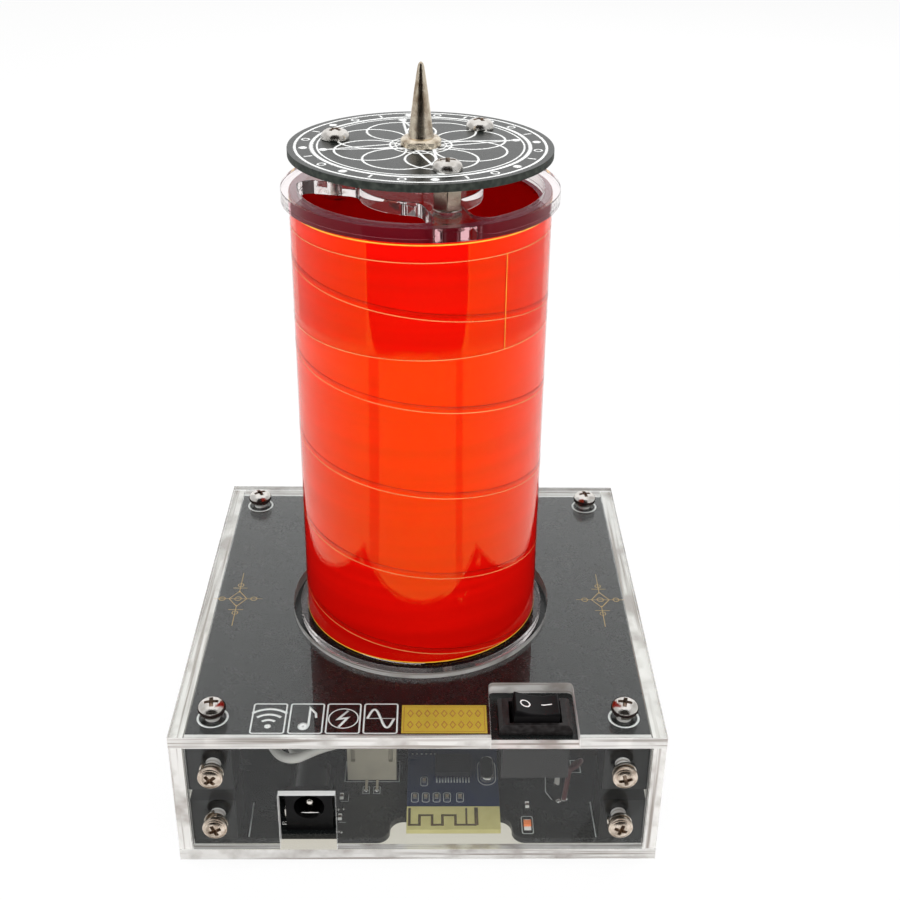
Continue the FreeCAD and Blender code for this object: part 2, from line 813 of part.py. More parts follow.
def make_column():
    """Make the coil tube with its flanges, winding, film and leads."""
    flange("bottom_flange", "roof_low")
    flange("top_flange", "tube_high")
    tube = sleeve("coil_tube_wall", "tube_radius", "tube_radius - tube_wall", "tube_length", "tube_low")
    low_exit = "tube_low + lead_exit"
    high_exit = "tube_high - winding_high - lead_exit"
    exits = [
        rod(
            f"coil_tube_exit_{number}", "lead_hole_radius", "tube_wall + 2", "0", "tube_radius + 1", level,
            *FACING_FRONT,
        )
        for number, level in enumerate((low_exit, high_exit))
    ]
    cut("coil_tube", tube, exits)
    winding_radius = "tube_radius + winding_thickness"
    wound_length = "tube_length - winding_low - winding_high"
    sleeve("secondary_winding", winding_radius, "tube_radius", wound_length, "tube_low + winding_low")
    film_radius = f"{winding_radius} + film_thickness"
    film_length = "tube_length - film_low - film_high"
    sleeve("tape_wrap", film_radius, winding_radius, film_length, "tube_low + film_low")
    shaft = "(ring_radius + hub_radius) / 2"
    pipe("ground_lead", [
        ("0", "tube_radius", low_exit),
        ("0", shaft, low_exit),
        ("0", shaft, "board_top + 4"),
        ("0", f"{shaft} - 6", "board_top + lead_radius"),
    ], "lead_radius")
    pipe("top_lead", [
        ("0", "tube_radius", high_exit),
        ("0", shaft, high_exit),
        ("0", shaft, "crown_top + 2"),
        ("0", f"{shaft} - 3", "disc_low - lead_radius"),
    ], "lead_radius")


def make_top_load():
    """Make the standoffs, their washers, the round board and the spike."""
    bar = hexagon("post_bar", "post_flats", "post_height")
    bore = rod("post_bore", "screw_radius + thread_gap", "post_height + 2", z="-1")
    copies("standoffs", cut("post_blank", bar, [bore]), on_posts("post_low"), *CORNER_FORWARD)
    washer = cut("post_washer_blank", rod("post_washer_rim", "post_washer_radius", "post_washer"), [
        rod("post_washer_hole", "hole_radius", "post_washer + 2", z="-1")
    ])
    copies("standoff_washers", washer, on_posts("crown_top"))
    circles = [("0", "0", "disc_radius"), ("0", "0", "hole_radius")]
    circles += [(x, y, "hole_radius") for x, y, _ in on_posts("0")]
    plate("topload_disc", "XY_Plane", None, circles, "board_thickness", z="disc_low")

    thread, depth = "screw_radius + thread_gap", "disc_screw_length - board_thickness + 1"
    spike = turned("spike_turned", [
        (thread, "0"),
        ("collar_radius", "0"),
        ("collar_radius", "collar_height - collar_chamfer"),
        ("collar_radius - collar_chamfer", "collar_height"),
        ("spike_radius", "collar_height"),
        ("spike_tip_radius", "spike_height"),
        ("0", "spike_height"),
        ("0", depth),
        (thread, depth),
    ], z="disc_top")
    summit = value("disc_top + spike_height")
    tip_round = "spike_tip_radius * 0.9"
    round_edges("discharge_spike", spike, tip_round, lambda edge: edge.BoundBox.ZMin > summit - NEAR)
    screw = pan_screw("spike_screw_blank", "disc_screw_length")
    copies("spike_screw", screw, [("0", "0", "disc_low")], *UPSIDE_DOWN)


# Primary coil and its connector.


def bend(across, back, height):
    """Return a bend of a lead from shares of the case's half width, half depth and clear height."""
    level = f"board_top + {height} * (panel_low - board_top)"
    return f"{across} * inner_half_width", f"{back} * inner_half_depth", level


def make_primary():
    """Make the few-turn coil of thick wire, its former, its connector and its two leads."""
    outer = "primary_radius - primary_wire_radius - former_gap"
    sleeve("primary_former", outer, f"{outer} - former_wall", "former_height", "panel_low - former_height")

    radius = value("primary_radius")
    rise = value("primary_pitch * primary_turns")
    helix = Part.makeLongHelix(value("primary_pitch"), rise, radius, 0, True)
    start_point, along = FreeCAD.Vector(radius, 0, 0), FreeCAD.Vector(0, 1, 0)
    section = Part.makeCircle(value("primary_wire_radius"), start_point, along)
    coil = doc.addObject("Part::Feature", "primary_coil")
    coil.Shape = Part.Wire(helix).makePipeShell([Part.Wire(section)], True, True)
    start_level = "panel_low - primary_drop - primary_pitch * primary_turns"
    place(coil, z=start_level, axis=(0, 0, 1), angle=value("primary_start"))

    x, y = "header_across", "header_y + header_depth / 2"
    shell = centred_block("header_shell", "header_width", "header_depth", "header_height", x, y, "board_top")
    well = centred_block(
        "header_well", "header_width - 2 * header_wall", "header_depth - 2 * header_wall", "header_height",
        x, y, "board_top + header_floor",
    )
    slots = [
        centred_block(
            f"header_slot_{number}", "header_wall", "header_wall + 2", "header_height",
            f"{x} + {side} * (header_width / 2 - 1.5 * header_wall)", "header_y",
            "board_top + header_slot_rise",
        )
        for number, side in enumerate(BOTH_SIDES)
    ]
    uprights = [
        centred_block(
            f"header_pin_{number}", "contact_side", "contact_side", "contact_rise",
            f"{x} + {side} * contact_pitch / 2", y, "board_top",
        )
        for number, side in enumerate(BOTH_SIDES)
    ]
    feet = [
        block(
            f"header_foot_{number}", "contact_side", f"{y} - header_y + contact_foot", "contact_side / 2",
            f"{x} + {side} * contact_pitch / 2 - contact_side / 2", "header_y - contact_foot", "board_top",
        )
        for number, side in enumerate(BOTH_SIDES)
    ]
    pins = group("connector_pins", [
        join(f"header_contact_{number}", [upper, foot])
        for number, (upper, foot) in enumerate(zip(uprights, feet))
    ])
    cut("connector_header", shell, [well, *slots, pins])
    plug = centred_block(
        "plug_shell", "header_width - 2 * header_wall - 2 * plug_gap",
        "header_depth - 2 * header_wall - 2 * plug_gap", "header_height - header_floor + plug_rise",
        x, y, "board_top + header_floor",
    )
    cut("connector_plug", plug, [pins])

    top = "board_top + header_height + plug_rise"
    angle = "primary_start * 1 deg"
    start = (f"primary_radius * cos({angle})", f"primary_radius * sin({angle})")
    last_level = "panel_low - primary_drop"
    over_plug = f"{top} + lead_clearance"
    pipe("primary_lead_low", [
        (*start, start_level),
        (f"{start[0]} - 9 * sin({angle})", f"{start[1]} + 9 * cos({angle})", start_level),
        bend(-0.578, -0.588, 0.57),
        bend(-0.58, -0.761, 0.46),
        bend(-0.4, -0.7, 0.62),
        (f"{x} - contact_pitch / 2", f"{y} - plug_lead_run", over_plug),
        (f"{x} - contact_pitch / 2", y, over_plug),
        (f"{x} - contact_pitch / 2", y, top),
    ], "primary_wire_radius")
    pipe("primary_lead_high", [
        (*start, last_level),
        (f"{start[0]} + 9 * sin({angle})", f"{start[1]} - 9 * cos({angle})", last_level),
        bend(-0.767, -0.139, 0.849),
        bend(-0.763, -0.398, 0.713),
        bend(-0.72, -0.66, 0.66),
        bend(-0.6, -0.835, 0.55),
        bend(-0.42, -0.8, 0.7),
        bend(-0.25, -0.74, 0.66),
        (f"{x} + contact_pitch / 2", f"{y} - plug_lead_run", over_plug),
        (f"{x} + contact_pitch / 2", y, over_plug),
        (f"{x} + contact_pitch / 2", y, top),
    ], "primary_wire_radius")


# Supply inlet.


def make_jack():
    """Make the barrel inlet with its bore, centre pin and two sprung contacts."""
    x, y = "jack_across", "jack_y"
    face = centred_block(
        "jack_face_block", "jack_width", "jack_face", "jack_height", x, f"{y} + jack_face / 2", "board_top",
    )
    back_length = "jack_length - jack_face"
    back_y = f"{y} + jack_face + ({back_length}) / 2"
    back_size = ("jack_width - 2 * jack_step", back_length, "jack_axis_rise")
    lower = centred_block("jack_back_block", *back_size, x, back_y, "board_top")
    barrel_radius = "jack_height - jack_axis_rise - jack_step"
    back = f"{y} + jack_length"
    barrel = rod("jack_barrel", barrel_radius, back_length, x, back, "jack_axis", *FACING_FRONT)
    body = join("jack_body", [face, lower, barrel])
    bore_end = f"{y} + jack_bore_depth"
    bore = rod(
        "jack_bore", "jack_bore_radius", "jack_bore_depth + 1", x, bore_end, "jack_axis", *FACING_FRONT
    )
    side = block(
        "dc_jack_side_contact", "contact_sheet", "jack_face", "contact_width",
        f"{x} - jack_width / 2 - contact_sheet", f"{y} + side_contact_setback", "board_top + jack_height / 4",
    )
    spring = centred_block(
        "jack_spring_contact", "contact_width", "jack_bore_depth - jack_pin_setback", "contact_sheet", x,
        f"{y} + (jack_bore_depth + jack_pin_setback) / 2", "jack_axis - jack_bore_radius",
    )
    group("dc_jack_contacts", [side, spring])
    pin = rod(
        "dc_jack_pin_rod", "jack_pin_radius", "jack_length - jack_pin_setback - jack_pin_cover", x,
        f"{back} - jack_pin_cover", "jack_axis", *FACING_FRONT,
    )
    front = value("jack_y + jack_pin_setback")
    round_edges("dc_jack_pin", pin, "jack_pin_radius * 0.8", lambda edge: edge.BoundBox.YMax < front + NEAR)
    cut("dc_jack", body, [bore, pin, spring])


# Rocker switch.


def make_switch():
    """Make the housing with its bezel and well, the rocker on its pivots, the blades and the leads."""
    x, y = "switch_across", "switch_y"
    bezel = centred_block("bezel_block", "bezel_length", "bezel_depth", "bezel_height", x, y, "roof_low")
    top = value("roof_low + bezel_height")
    bezel_bevelled = bevel_top("bezel_bevelled", bezel, "bezel_bevel", top)
    body = centred_block(
        "housing_block", "housing_length", "housing_depth", "housing_height", x, y, "housing_low",
    )
    latches = [
        centred_block(
            f"housing_latch_{number}", "latch_out * 2", "latch_width", "latch_height",
            f"{x} + {side} * housing_length / 2", y, "panel_low - latch_height",
        )
        for number, side in enumerate(BOTH_SIDES)
    ]
    shell = join("housing_shell", [bezel_bevelled, body, *latches])
    well_height = "housing_height + bezel_height"
    well = centred_block("housing_well", "well_length", "well_depth", well_height, x, y, "well_low")
    hinge_bore = rod(
        "housing_pivot_bore", "pivot_radius + pivot_gap", "well_depth + 2 * (pivot_reach + pivot_gap)", x,
        f"{y} + well_depth / 2 + pivot_reach + pivot_gap", "pivot_level", *FACING_FRONT,
    )
    blades = group("switch_terminals", [
        centred_block(
            f"switch_blade_{number}", "blade_thickness", "blade_width", "blade_length",
            f"{x} + {side} * blade_spread", y, "blade_low",
        )
        for number, side in enumerate(BOTH_SIDES)
    ])
    cut("switch_housing", shell, [well, hinge_bore, blades])

    make_rocker(x, y)
    joint_level = "blade_low + switch_lead_radius"
    blade_back = f"{y} + blade_width / 2"
    pipe("switch_lead_white", [
        (f"{x} - blade_spread", blade_back, joint_level),
        (f"{x} - blade_spread", f"{blade_back} + 5", joint_level),
        bend(0.598, -0.677, 0.422),
        ("white_pad_across", "white_pad_setback - inner_half_depth", "board_top + pad_rise"),
        ("white_pad_across", "white_pad_setback - inner_half_depth", "board_top"),
    ], "switch_lead_radius")
    pipe("switch_lead_red", [
        (f"{x} + blade_spread + blade_thickness / 2", y, joint_level),
        (f"{x} + blade_spread + red_lead_reach", y, joint_level),
        bend(0.74, -0.8, 0.56),
        bend(0.685, -0.765, 0.4),
        ("red_pad_across", "red_pad_setback - inner_half_depth", "board_top + switch_lead_radius / 2"),
    ], "switch_lead_radius")


def make_rocker(x, y):
    """Make the concave rocker with its pivots, pressed down at its right side."""
    half = "rocker_length / 2"
    body = doc.addObject("PartDesign::Body", "rocker_body")
    sketch = new_sketch(body, "rocker_sketch", "XZ_Plane")
    draw_outline(sketch, "corner", [
        (f"-{half}", "-rocker_skirt"),
        (half, "-rocker_skirt"),
        (half, "rocker_edge_rise"),
        ("rocker_length / 6", "rocker_middle_rise"),
        ("-rocker_length / 6", "rocker_middle_rise"),
        (f"-{half}", "rocker_edge_rise"),
    ])
    pad = body.newObject("PartDesign::Pad", "rocker_pad")
    pad.Profile = sketch
    pad.Midplane = True
    bind(pad, Length="rocker_width")
    reach = "rocker_width + 2 * (well_depth / 2 - rocker_width / 2 + pivot_reach)"
    pivot = rod("rocker_pivot", "pivot_radius", reach, "0", f"({reach}) / 2", "0", *FACING_FRONT)
    level = join("rocker_level", [body, pivot])
    middle = value("rocker_middle_rise")

    def upper_edge(edge):
        """Tell whether an edge runs round the top of the rocker."""
        box = edge.BoundBox
        across = box.YLength > box.XLength and abs(edge.CenterOfMass.x) < value(half) - NEAR
        return box.ZMin > middle - NEAR and not across

    rounded = round_edges("rocker_rounded", level, "rocker_round", upper_edge)
    link = doc.addObject("App::Link", "switch_rocker_pressed")
    link.LinkedObject = rounded
    link.LinkTransform = False
    place(link, x, y, "pivot_level", (0, 1, 0), value("rocker_half_travel"))
    group("switch_rocker", [link])


def bevel_top(name, solid, size, level):
    """Bevel the edges round the top face of a block."""
    doc.recompute()
    item = doc.addObject("Part::Chamfer", name)
    item.Base = solid
    width = value(size)
    edges = enumerate(solid.Shape.Edges, start=1)
    item.Edges = [(number, width, width) for number, edge in edges if edge.BoundBox.ZMin > level - NEAR]
    return item


# Wireless module.


MODULE_ROW = ("1.8", "4.3", "6.8", "9.2", "12.2")


def chip_part(name, x, y, z):
    """Make one small chip resistor, capacitor or lamp."""
    return centred_block(name, "chip_part_width", "chip_part_length", "chip_part_height", x, y, z)


def make_module():
    """Make the radio board with its chip, crystal and small parts."""
    x, y = "module_across", "module_y"
    corner = f"{x} - module_width / 2"
    block("wireless_module", "module_width", "module_length", "module_thickness", corner, y, "module_low")
    centred_block(
        "module_chip", "module_chip_length", "module_chip_width", "module_chip_height",
        x, f"{y} + chip_setback", "module_top",
    )
    crystal_x, crystal_y = f"{x} + crystal_across", f"{y} + crystal_setback"
    straight, height = "crystal_length - crystal_width", "crystal_height"
    middle = (crystal_x, crystal_y, "module_top")
    can = [centred_block("crystal_middle", "crystal_width", straight, height, *middle)]
    for side, sign in (("near", -1), ("far", 1)):
        end = f"{crystal_y} + {sign} * ({straight}) / 2"
        can.append(rod(f"crystal_{side}", "crystal_width / 2", height, crystal_x, end, "module_top"))
    join("module_crystal", can)
    places = [(offset, "part_row_setback") for offset in MODULE_ROW]
    places.append(("lone_part_across", "lone_part_setback"))
    behind = f"{y} + aerial_length"
    group("module_chip_parts", [
        chip_part(f"module_part_{number}", f"{corner} + {offset}", f"{behind} + {setback}", "module_top")
        for number, (offset, setback) in enumerate(places)
    ])


# Other parts on the main board.


def legged_chip(name, x, y):
    """Make a small outline chip with gull legs along its two long sides."""
    body_low = "board_top + leg_thickness"
    body = centred_block(f"{name}_body", "driver_width", "driver_length", "driver_height", x, y, body_low)
    span = "driver_width + 2 * driver_leg"
    legs = [
        centred_block(
            f"{name}_legs_{number}", span, "driver_leg_width", "leg_thickness",
            x, f"{y} + {row} * driver_leg_pitch", "board_top",
        )
        for number, row in enumerate((-1.5, -0.5, 0.5, 1.5))
    ]
    return join(name, [body, *legs])


def make_heat_sink():
    """Make the finned heat sink with the screw threads of its transistors, and its transistors."""
    middle = "sink_y + sink_base / 2"
    pieces = [centred_block("sink_plate", "sink_width", "sink_base", "sink_height", "0", middle, "board_top")]
    count = int(value("floor((sink_width - fin_thickness) / (fin_gap + fin_thickness))")) + 1
    for number in range(count):
        pieces.append(centred_block(
            f"sink_fin_{number}", "fin_thickness", "sink_depth", "sink_height",
            f"{number - (count - 1) / 2} * (fin_gap + fin_thickness)", "sink_y + sink_depth / 2", "board_top",
        ))
    sink = join("sink_body", pieces)

    low = "board_top + transistor_rise"
    level = f"{low} + transistor_height - transistor_hole_drop"
    front = "sink_y - transistor_depth / 2"
    bodies, screws, threads = [], [], []
    for number, side in enumerate(BOTH_SIDES):
        x = f"{side} * transistor_spread"
        body = centred_block(
            f"transistor_body_{number}", "transistor_width", "transistor_depth", "transistor_body",
            x, front, low,
        )
        tab = centred_block(
            f"transistor_tab_{number}", "transistor_width", "transistor_tab", "transistor_height", x,
            "sink_y - transistor_tab / 2", low,
        )
        legs = [
            centred_block(
                f"transistor_leg_{number}_{leg + 1}", "transistor_leg", "leg_thickness * 2",
                "transistor_rise", f"{x} + {leg} * transistor_leg_pitch", front, "board_top",
            )
            for leg in (-1, 0, 1)
        ]
        whole = join(f"transistor_{number}", [body, tab, *legs])
        at_hole = (x, "sink_y", level)
        hole = rod(f"transistor_hole_{number}", "hole_radius", "transistor_tab", *at_hole, *FACING_FRONT)
        bodies.append(cut(f"transistor_drilled_{number}", whole, [hole]))
        screws.append((x, "sink_y - transistor_tab", level))
        threads.append(rod(
            f"sink_thread_{number}", "screw_radius + thread_gap", "sink_base", x, "sink_y + sink_base", level,
            *FACING_FRONT,
        ))
    cut("heat_sink", sink, threads)
    group("power_transistors", bodies)
    screw = pan_screw("transistor_screw_blank", "transistor_tab + sink_base")
    copies("transistor_screws", screw, screws, *FACING_FRONT)


RESISTOR_PLACES = (
    ("led_across + lamp_part_across", "led_setback + lamp_part_setback"),
    ("jack_across + inlet_part_across", "inlet_part_setback"),
    ("jack_across + inlet_part_across", "inlet_part_setback + inlet_part_spacing"),
    ("-filter_part_across", "filter_part_setback"),
    ("feedback_part_across", "feedback_part_setback"),
)


def make_board_parts():
    """Make the capacitors, chips, indicator and chip resistors of the main board."""
    cans = []
    for number, side in enumerate(BOTH_SIDES):
        x, y = "electrolytic_x", f"{side} * electrolytic_spread"
        can = rod(f"can_{number}", "electrolytic_radius", "electrolytic_height", x, y, "board_top")
        groove = doc.addObject("Part::Torus", f"can_groove_{number}")
        bind(groove, Radius1="electrolytic_radius + electrolytic_groove / 2", Radius2="electrolytic_groove")
        place(groove, x, y, "board_top + electrolytic_groove_rise")
        cans.append(cut(f"can_grooved_{number}", can, [groove]))
    group("smoothing_capacitors", cans)
    centred_block(
        "film_capacitor", "film_cap_width", "film_cap_length", "film_cap_height", "film_cap_x", "0",
        "board_top",
    )
    places = [
        (f"{side} * driver_spread", f"{row} * driver_spread + driver_back")
        for row in (0, -1)
        for side in BOTH_SIDES
    ]
    group("driver_chips", [
        legged_chip(f"driver_chip_{number}", x, y) for number, (x, y) in enumerate(places)
    ])
    chip_part("indicator_led", "led_across", "led_setback - inner_half_depth", "board_top")
    group("chip_resistors", [
        chip_part(f"chip_resistor_{number}", x, f"{setback} - inner_half_depth", "board_top")
        for number, (x, setback) in enumerate(RESISTOR_PLACES)
    ])


# Build and export.

NODES = (
    "bottom_plate top_plate front_plate back_plate left_side_plate right_side_plate rubber_feet "
    "lower_corner_blocks upper_corner_blocks top_screws top_spring_washers wall_screws "
    "wall_spring_washers bottom_screws main_board top_board dc_jack dc_jack_pin dc_jack_contacts "
    "switch_housing switch_rocker switch_terminals switch_lead_white switch_lead_red wireless_module "
    "module_chip module_crystal module_chip_parts connector_header connector_pins connector_plug "
    "primary_lead_low primary_lead_high primary_coil primary_former heat_sink power_transistors "
    "transistor_screws smoothing_capacitors film_capacitor driver_chips indicator_led chip_resistors "
    "bottom_flange bottom_flange_screws bottom_flange_nuts coil_tube secondary_winding tape_wrap "
    "ground_lead top_lead top_flange column_screws standoff_washers standoffs topload_disc disc_screws "
    "discharge_spike spike_screw"
).split()


def check_and_export():
    """Stop on any failed object or bad shape, then write each piece to its own file."""
    doc.recompute()
    failed = [item.Name for item in doc.Objects if {"Invalid", "Error"} & set(item.State)]
    if failed:
        raise RuntimeError(f"these objects failed: {failed}")
    os.makedirs("parts", exist_ok=True)
    for node in NODES:
        item = doc.getObject(node)
        item.Label = node
        shape = item.Shape
        if shape.isNull() or not shape.isValid() or not shape.Solids:
            raise RuntimeError(f"{node} has no valid solid")
        shape.exportStep(f"parts/{node}.step")
        print(f"{node}: {len(shape.Solids)} solids, {shape.Volume:.1f} mm3")


fill_sheet()
make_case()
make_corner_blocks()
make_fasteners()
make_boards()
make_column()
make_top_load()
make_primary()
make_jack()
make_switch()
make_module()
make_heat_sink()
make_board_parts()
check_and_export()
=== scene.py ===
"""Visual model of a desktop resonant transformer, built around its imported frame."""
import json
import logging
import math
from collections.abc import Callable, Iterable, Sequence
from dataclasses import dataclass, field
from enum import Enum
from functools import lru_cache

import bpy
from mathutils import Matrix, Vector

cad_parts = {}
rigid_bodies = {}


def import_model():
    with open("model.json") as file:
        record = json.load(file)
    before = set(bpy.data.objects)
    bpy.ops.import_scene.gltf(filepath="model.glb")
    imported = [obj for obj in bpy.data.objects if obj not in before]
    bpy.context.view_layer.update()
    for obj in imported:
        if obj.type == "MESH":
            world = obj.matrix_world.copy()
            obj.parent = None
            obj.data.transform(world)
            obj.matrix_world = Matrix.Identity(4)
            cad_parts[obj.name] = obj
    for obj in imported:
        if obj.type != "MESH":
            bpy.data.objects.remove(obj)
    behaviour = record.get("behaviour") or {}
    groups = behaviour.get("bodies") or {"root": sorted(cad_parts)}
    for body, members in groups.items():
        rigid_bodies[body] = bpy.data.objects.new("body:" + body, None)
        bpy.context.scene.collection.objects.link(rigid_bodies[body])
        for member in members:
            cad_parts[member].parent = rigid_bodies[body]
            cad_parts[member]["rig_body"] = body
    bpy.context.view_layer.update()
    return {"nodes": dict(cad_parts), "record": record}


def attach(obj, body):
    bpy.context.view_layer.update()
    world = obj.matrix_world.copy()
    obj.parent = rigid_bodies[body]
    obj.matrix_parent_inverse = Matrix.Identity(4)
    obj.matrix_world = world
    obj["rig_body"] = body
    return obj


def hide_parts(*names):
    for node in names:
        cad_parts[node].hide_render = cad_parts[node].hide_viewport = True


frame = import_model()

LOG = logging.getLogger("resonant_transformer")
MM = 0.001
SMOOTH_ANGLE = math.radians(28)

Colour = tuple[float, float, float]
Point = tuple[float, float, float]
Flat = tuple[float, float]
FaceTest = Callable[[Vector, Vector], bool]
Piece = bpy.types.Object
Material = bpy.types.Material
Tree = bpy.types.NodeTree
Node = bpy.types.Node
Socket = bpy.types.NodeSocket

SLOT_OF = {row["node"]: row["material_slot"] for row in frame["record"]["subparts"]}


# Modelling steps.


class Bench:
    """Modelling steps, each done on one object with nothing else selected. Sizes are in millimetres."""

    @staticmethod
    def hold(obj: Piece) -> None:
        """Select one object alone and make it the active one."""
        if bpy.context.object and bpy.context.object.mode != "OBJECT":
            bpy.ops.object.mode_set(mode="OBJECT")
        bpy.ops.object.select_all(action="DESELECT")
        obj.select_set(True)
        bpy.context.view_layer.objects.active = obj

    @classmethod
    def open(cls, obj: Piece) -> None:
        """Open an object's mesh for editing with all of it selected."""
        cls.hold(obj)
        bpy.ops.object.mode_set(mode="EDIT")
        bpy.ops.mesh.select_mode(type="VERT")
        bpy.ops.mesh.select_all(action="SELECT")

    @staticmethod
    def close() -> None:
        """Leave the mesh that is open for editing."""
        bpy.ops.object.mode_set(mode="OBJECT")

    @classmethod
    def pick(cls, obj: Piece, test: FaceTest) -> None:
        """Open a mesh with only the faces selected whose middle and normal pass a test.

        Args:
            obj: The object to open.
            test: Takes a face's middle in millimetres and its normal.
        """
        cls.open(obj)
        bpy.ops.mesh.select_mode(type="FACE")
        bpy.ops.mesh.select_all(action="DESELECT")
        cls.close()
        for face in obj.data.polygons:
            face.select = bool(test(face.center / MM, face.normal))
        bpy.ops.object.mode_set(mode="EDIT")

    @classmethod
    def heal(cls, obj: Piece, doubles: float = 0.001) -> Piece:
        """Merge an object's double points and turn its faces outwards."""
        cls.open(obj)
        bpy.ops.mesh.remove_doubles(threshold=doubles * MM)
        bpy.ops.mesh.normals_make_consistent(inside=False)
        cls.close()
        return obj

    @classmethod
    def settle(cls, obj: Piece) -> Piece:
        """Put an object's place, turn and scale into its mesh."""
        cls.hold(obj)
        bpy.ops.object.transform_apply(location=True, rotation=True, scale=True)
        return obj

    @classmethod
    def modify(cls, obj: Piece, kind: str, **settings: object) -> Piece:
        """Add a modifier with its settings and apply it."""
        cls.hold(obj)
        modifier = obj.modifiers.new(kind.lower(), kind)
        for name, setting in settings.items():
            setattr(modifier, name, setting)
        bpy.ops.object.modifier_apply(modifier=modifier.name)
        return obj

    @classmethod
    def soften(cls, obj: Piece, width: float = 0.12, segments: int = 2, angle: float = 32.0) -> Piece:
        """Round an object's sharp edges and shade it smooth up to a small angle.

        Args:
            obj: The object to finish.
            width: Width of the rounding in millimetres, or 0 for none.
            segments: Number of faces across the rounding.
            angle: Edges sharper than this many degrees are rounded.

        Returns:
            The same object.
        """
        if width:
            cls.modify(
                obj, "BEVEL", width=width * MM, segments=segments, limit_method="ANGLE",
                angle_limit=math.radians(angle), use_clamp_overlap=True,
            )
        cls.hold(obj)
        bpy.ops.object.shade_smooth_by_angle(angle=SMOOTH_ANGLE)
        return cls.modify(obj, "WEIGHTED_NORMAL", weight=80, keep_sharp=True)

    @classmethod
    def copy_of(cls, node: str, name: str) -> Piece:
        """Copy a frame node's mesh, merged into whole faces.

        Args:
            node: Name of the frame node.
            name: Name of the new object.

        Returns:
            The new object.
        """
        obj = bpy.data.objects.new(name, frame["nodes"][node].data.copy())
        bpy.context.scene.collection.objects.link(obj)
        obj.data.materials.clear()
        cls.open(obj)
        bpy.ops.mesh.customdata_custom_splitnormals_clear()
        bpy.ops.mesh.remove_doubles(threshold=0.0005 * MM)
        bpy.ops.mesh.dissolve_limited(angle_limit=math.radians(0.6))
        cls.close()
        return obj

    @classmethod
    def shrink(cls, obj: Piece, by: float) -> Piece:
        """Draw every face of an object inwards by a hair, so that it doesn't share its neighbour's face."""
        cls.open(obj)
        bpy.ops.transform.shrink_fatten(value=-by * MM, use_even_offset=True)
        cls.close()
        return obj

    @classmethod
    def box(cls, name: str, low: Point, high: Point) -> Piece:
        """Make a block between two corners, as a start for other steps."""
        bpy.ops.object.select_all(action="DESELECT")
        middle = [(a + b) / 2 * MM for a, b in zip(low, high)]
        bpy.ops.mesh.primitive_cube_add(size=1, location=middle)
        obj = bpy.context.object
        obj.name = name
        obj.scale = [(b - a) * MM for a, b in zip(low, high)]
        return cls.settle(obj)

    @classmethod
    def turned(cls, name: str, profile: Sequence[Flat], place: Point = (0, 0, 0), steps: int = 48) -> Piece:
        """Turn a closed solid about an upright axis, from the bottom of its profile to the top.

        Args:
            name: Name of the new object.
            profile: Radius and height of each step.
            place: Foot of the axis.
            steps: Number of sides.

        Returns:
            The new object.
        """
        bpy.ops.object.select_all(action="DESELECT")
        radius, level = profile[0]
        bpy.ops.mesh.primitive_circle_add(
            vertices=steps, radius=radius * MM, fill_type="NGON", location=(0, 0, level * MM)
        )
        obj = bpy.context.object
        obj.name = name
        cls.settle(obj)
        cls.open(obj)
        for next_radius, next_level in profile[1:]:
            rise = {"value": (0, 0, (next_level - level) * MM)}
            bpy.ops.mesh.extrude_region_move(TRANSFORM_OT_translate=rise)
            ratio = next_radius / radius
            bpy.ops.transform.resize(value=(ratio, ratio, 1))
            radius, level = next_radius, next_level
        bpy.ops.mesh.select_all(action="SELECT")
        bpy.ops.mesh.normals_make_consistent(inside=False)
        cls.close()
        return cls.move(obj, place)

    @classmethod
    def outline(cls, name: str, corners: Sequence[Flat]) -> Piece:
        """Draw a closed outline across the radius and the height, point by point.

        Args:
            name: Name of the new object.
            corners: Radius and height of each corner.

        Returns:
            The new object, which has edges and no face.
        """
        bpy.ops.object.select_all(action="DESELECT")
        bpy.ops.mesh.primitive_plane_add(size=0.001)
        obj = bpy.context.object
        obj.name = name
        cls.open(obj)
        bpy.ops.mesh.merge(type="CENTER")
        here = Vector((0, 0, 0))
        for number, (radius, level) in enumerate((*corners, corners[0])):
            there = Vector((radius, 0, level)) * MM
            if number:
                bpy.ops.mesh.extrude_region_move(TRANSFORM_OT_translate={"value": there - here})
            else:
                bpy.ops.transform.translate(value=there)
            here = there
        bpy.ops.mesh.select_all(action="SELECT")
        bpy.ops.mesh.remove_doubles(threshold=0.0001 * MM)
        cls.close()
        return obj

    @classmethod
    def swept(
        cls, name: str, corners: Sequence[Flat], start: float, turn: float, rise: float = 0.0, steps: int = 96
    ) -> Piece:
        """Sweep a closed outline round the upright axis, with capped ends where it doesn't close.

        Args:
            name: Name of the new object.
            corners: Radius and height of each corner of the section.
            start: Where the sweep starts, in degrees from the right.
            turn: How far it goes, in degrees.
            rise: How far it climbs over the whole sweep, in millimetres.
            steps: Number of sections along the sweep.

        Returns:
            The new object.
        """
        obj = cls.outline(name, corners)
        cls.modify(
            obj, "SCREW", axis="Z", angle=math.radians(turn), screw_offset=rise * MM, steps=steps,
            render_steps=steps, use_merge_vertices=not rise and turn == 360, merge_threshold=0.0001 * MM,
            use_normal_calculate=True,
        )
        cls.open(obj)
        if rise or turn != 360:
            bpy.ops.mesh.select_mode(type="EDGE")
            bpy.ops.mesh.select_all(action="DESELECT")
            bpy.ops.mesh.select_non_manifold()
            bpy.ops.mesh.fill_holes(sides=0)
            bpy.ops.mesh.select_all(action="SELECT")
        bpy.ops.mesh.normals_make_consistent(inside=False)
        cls.close()
        obj.data.transform(Matrix.Rotation(math.radians(start), 4, "Z"))
        return obj

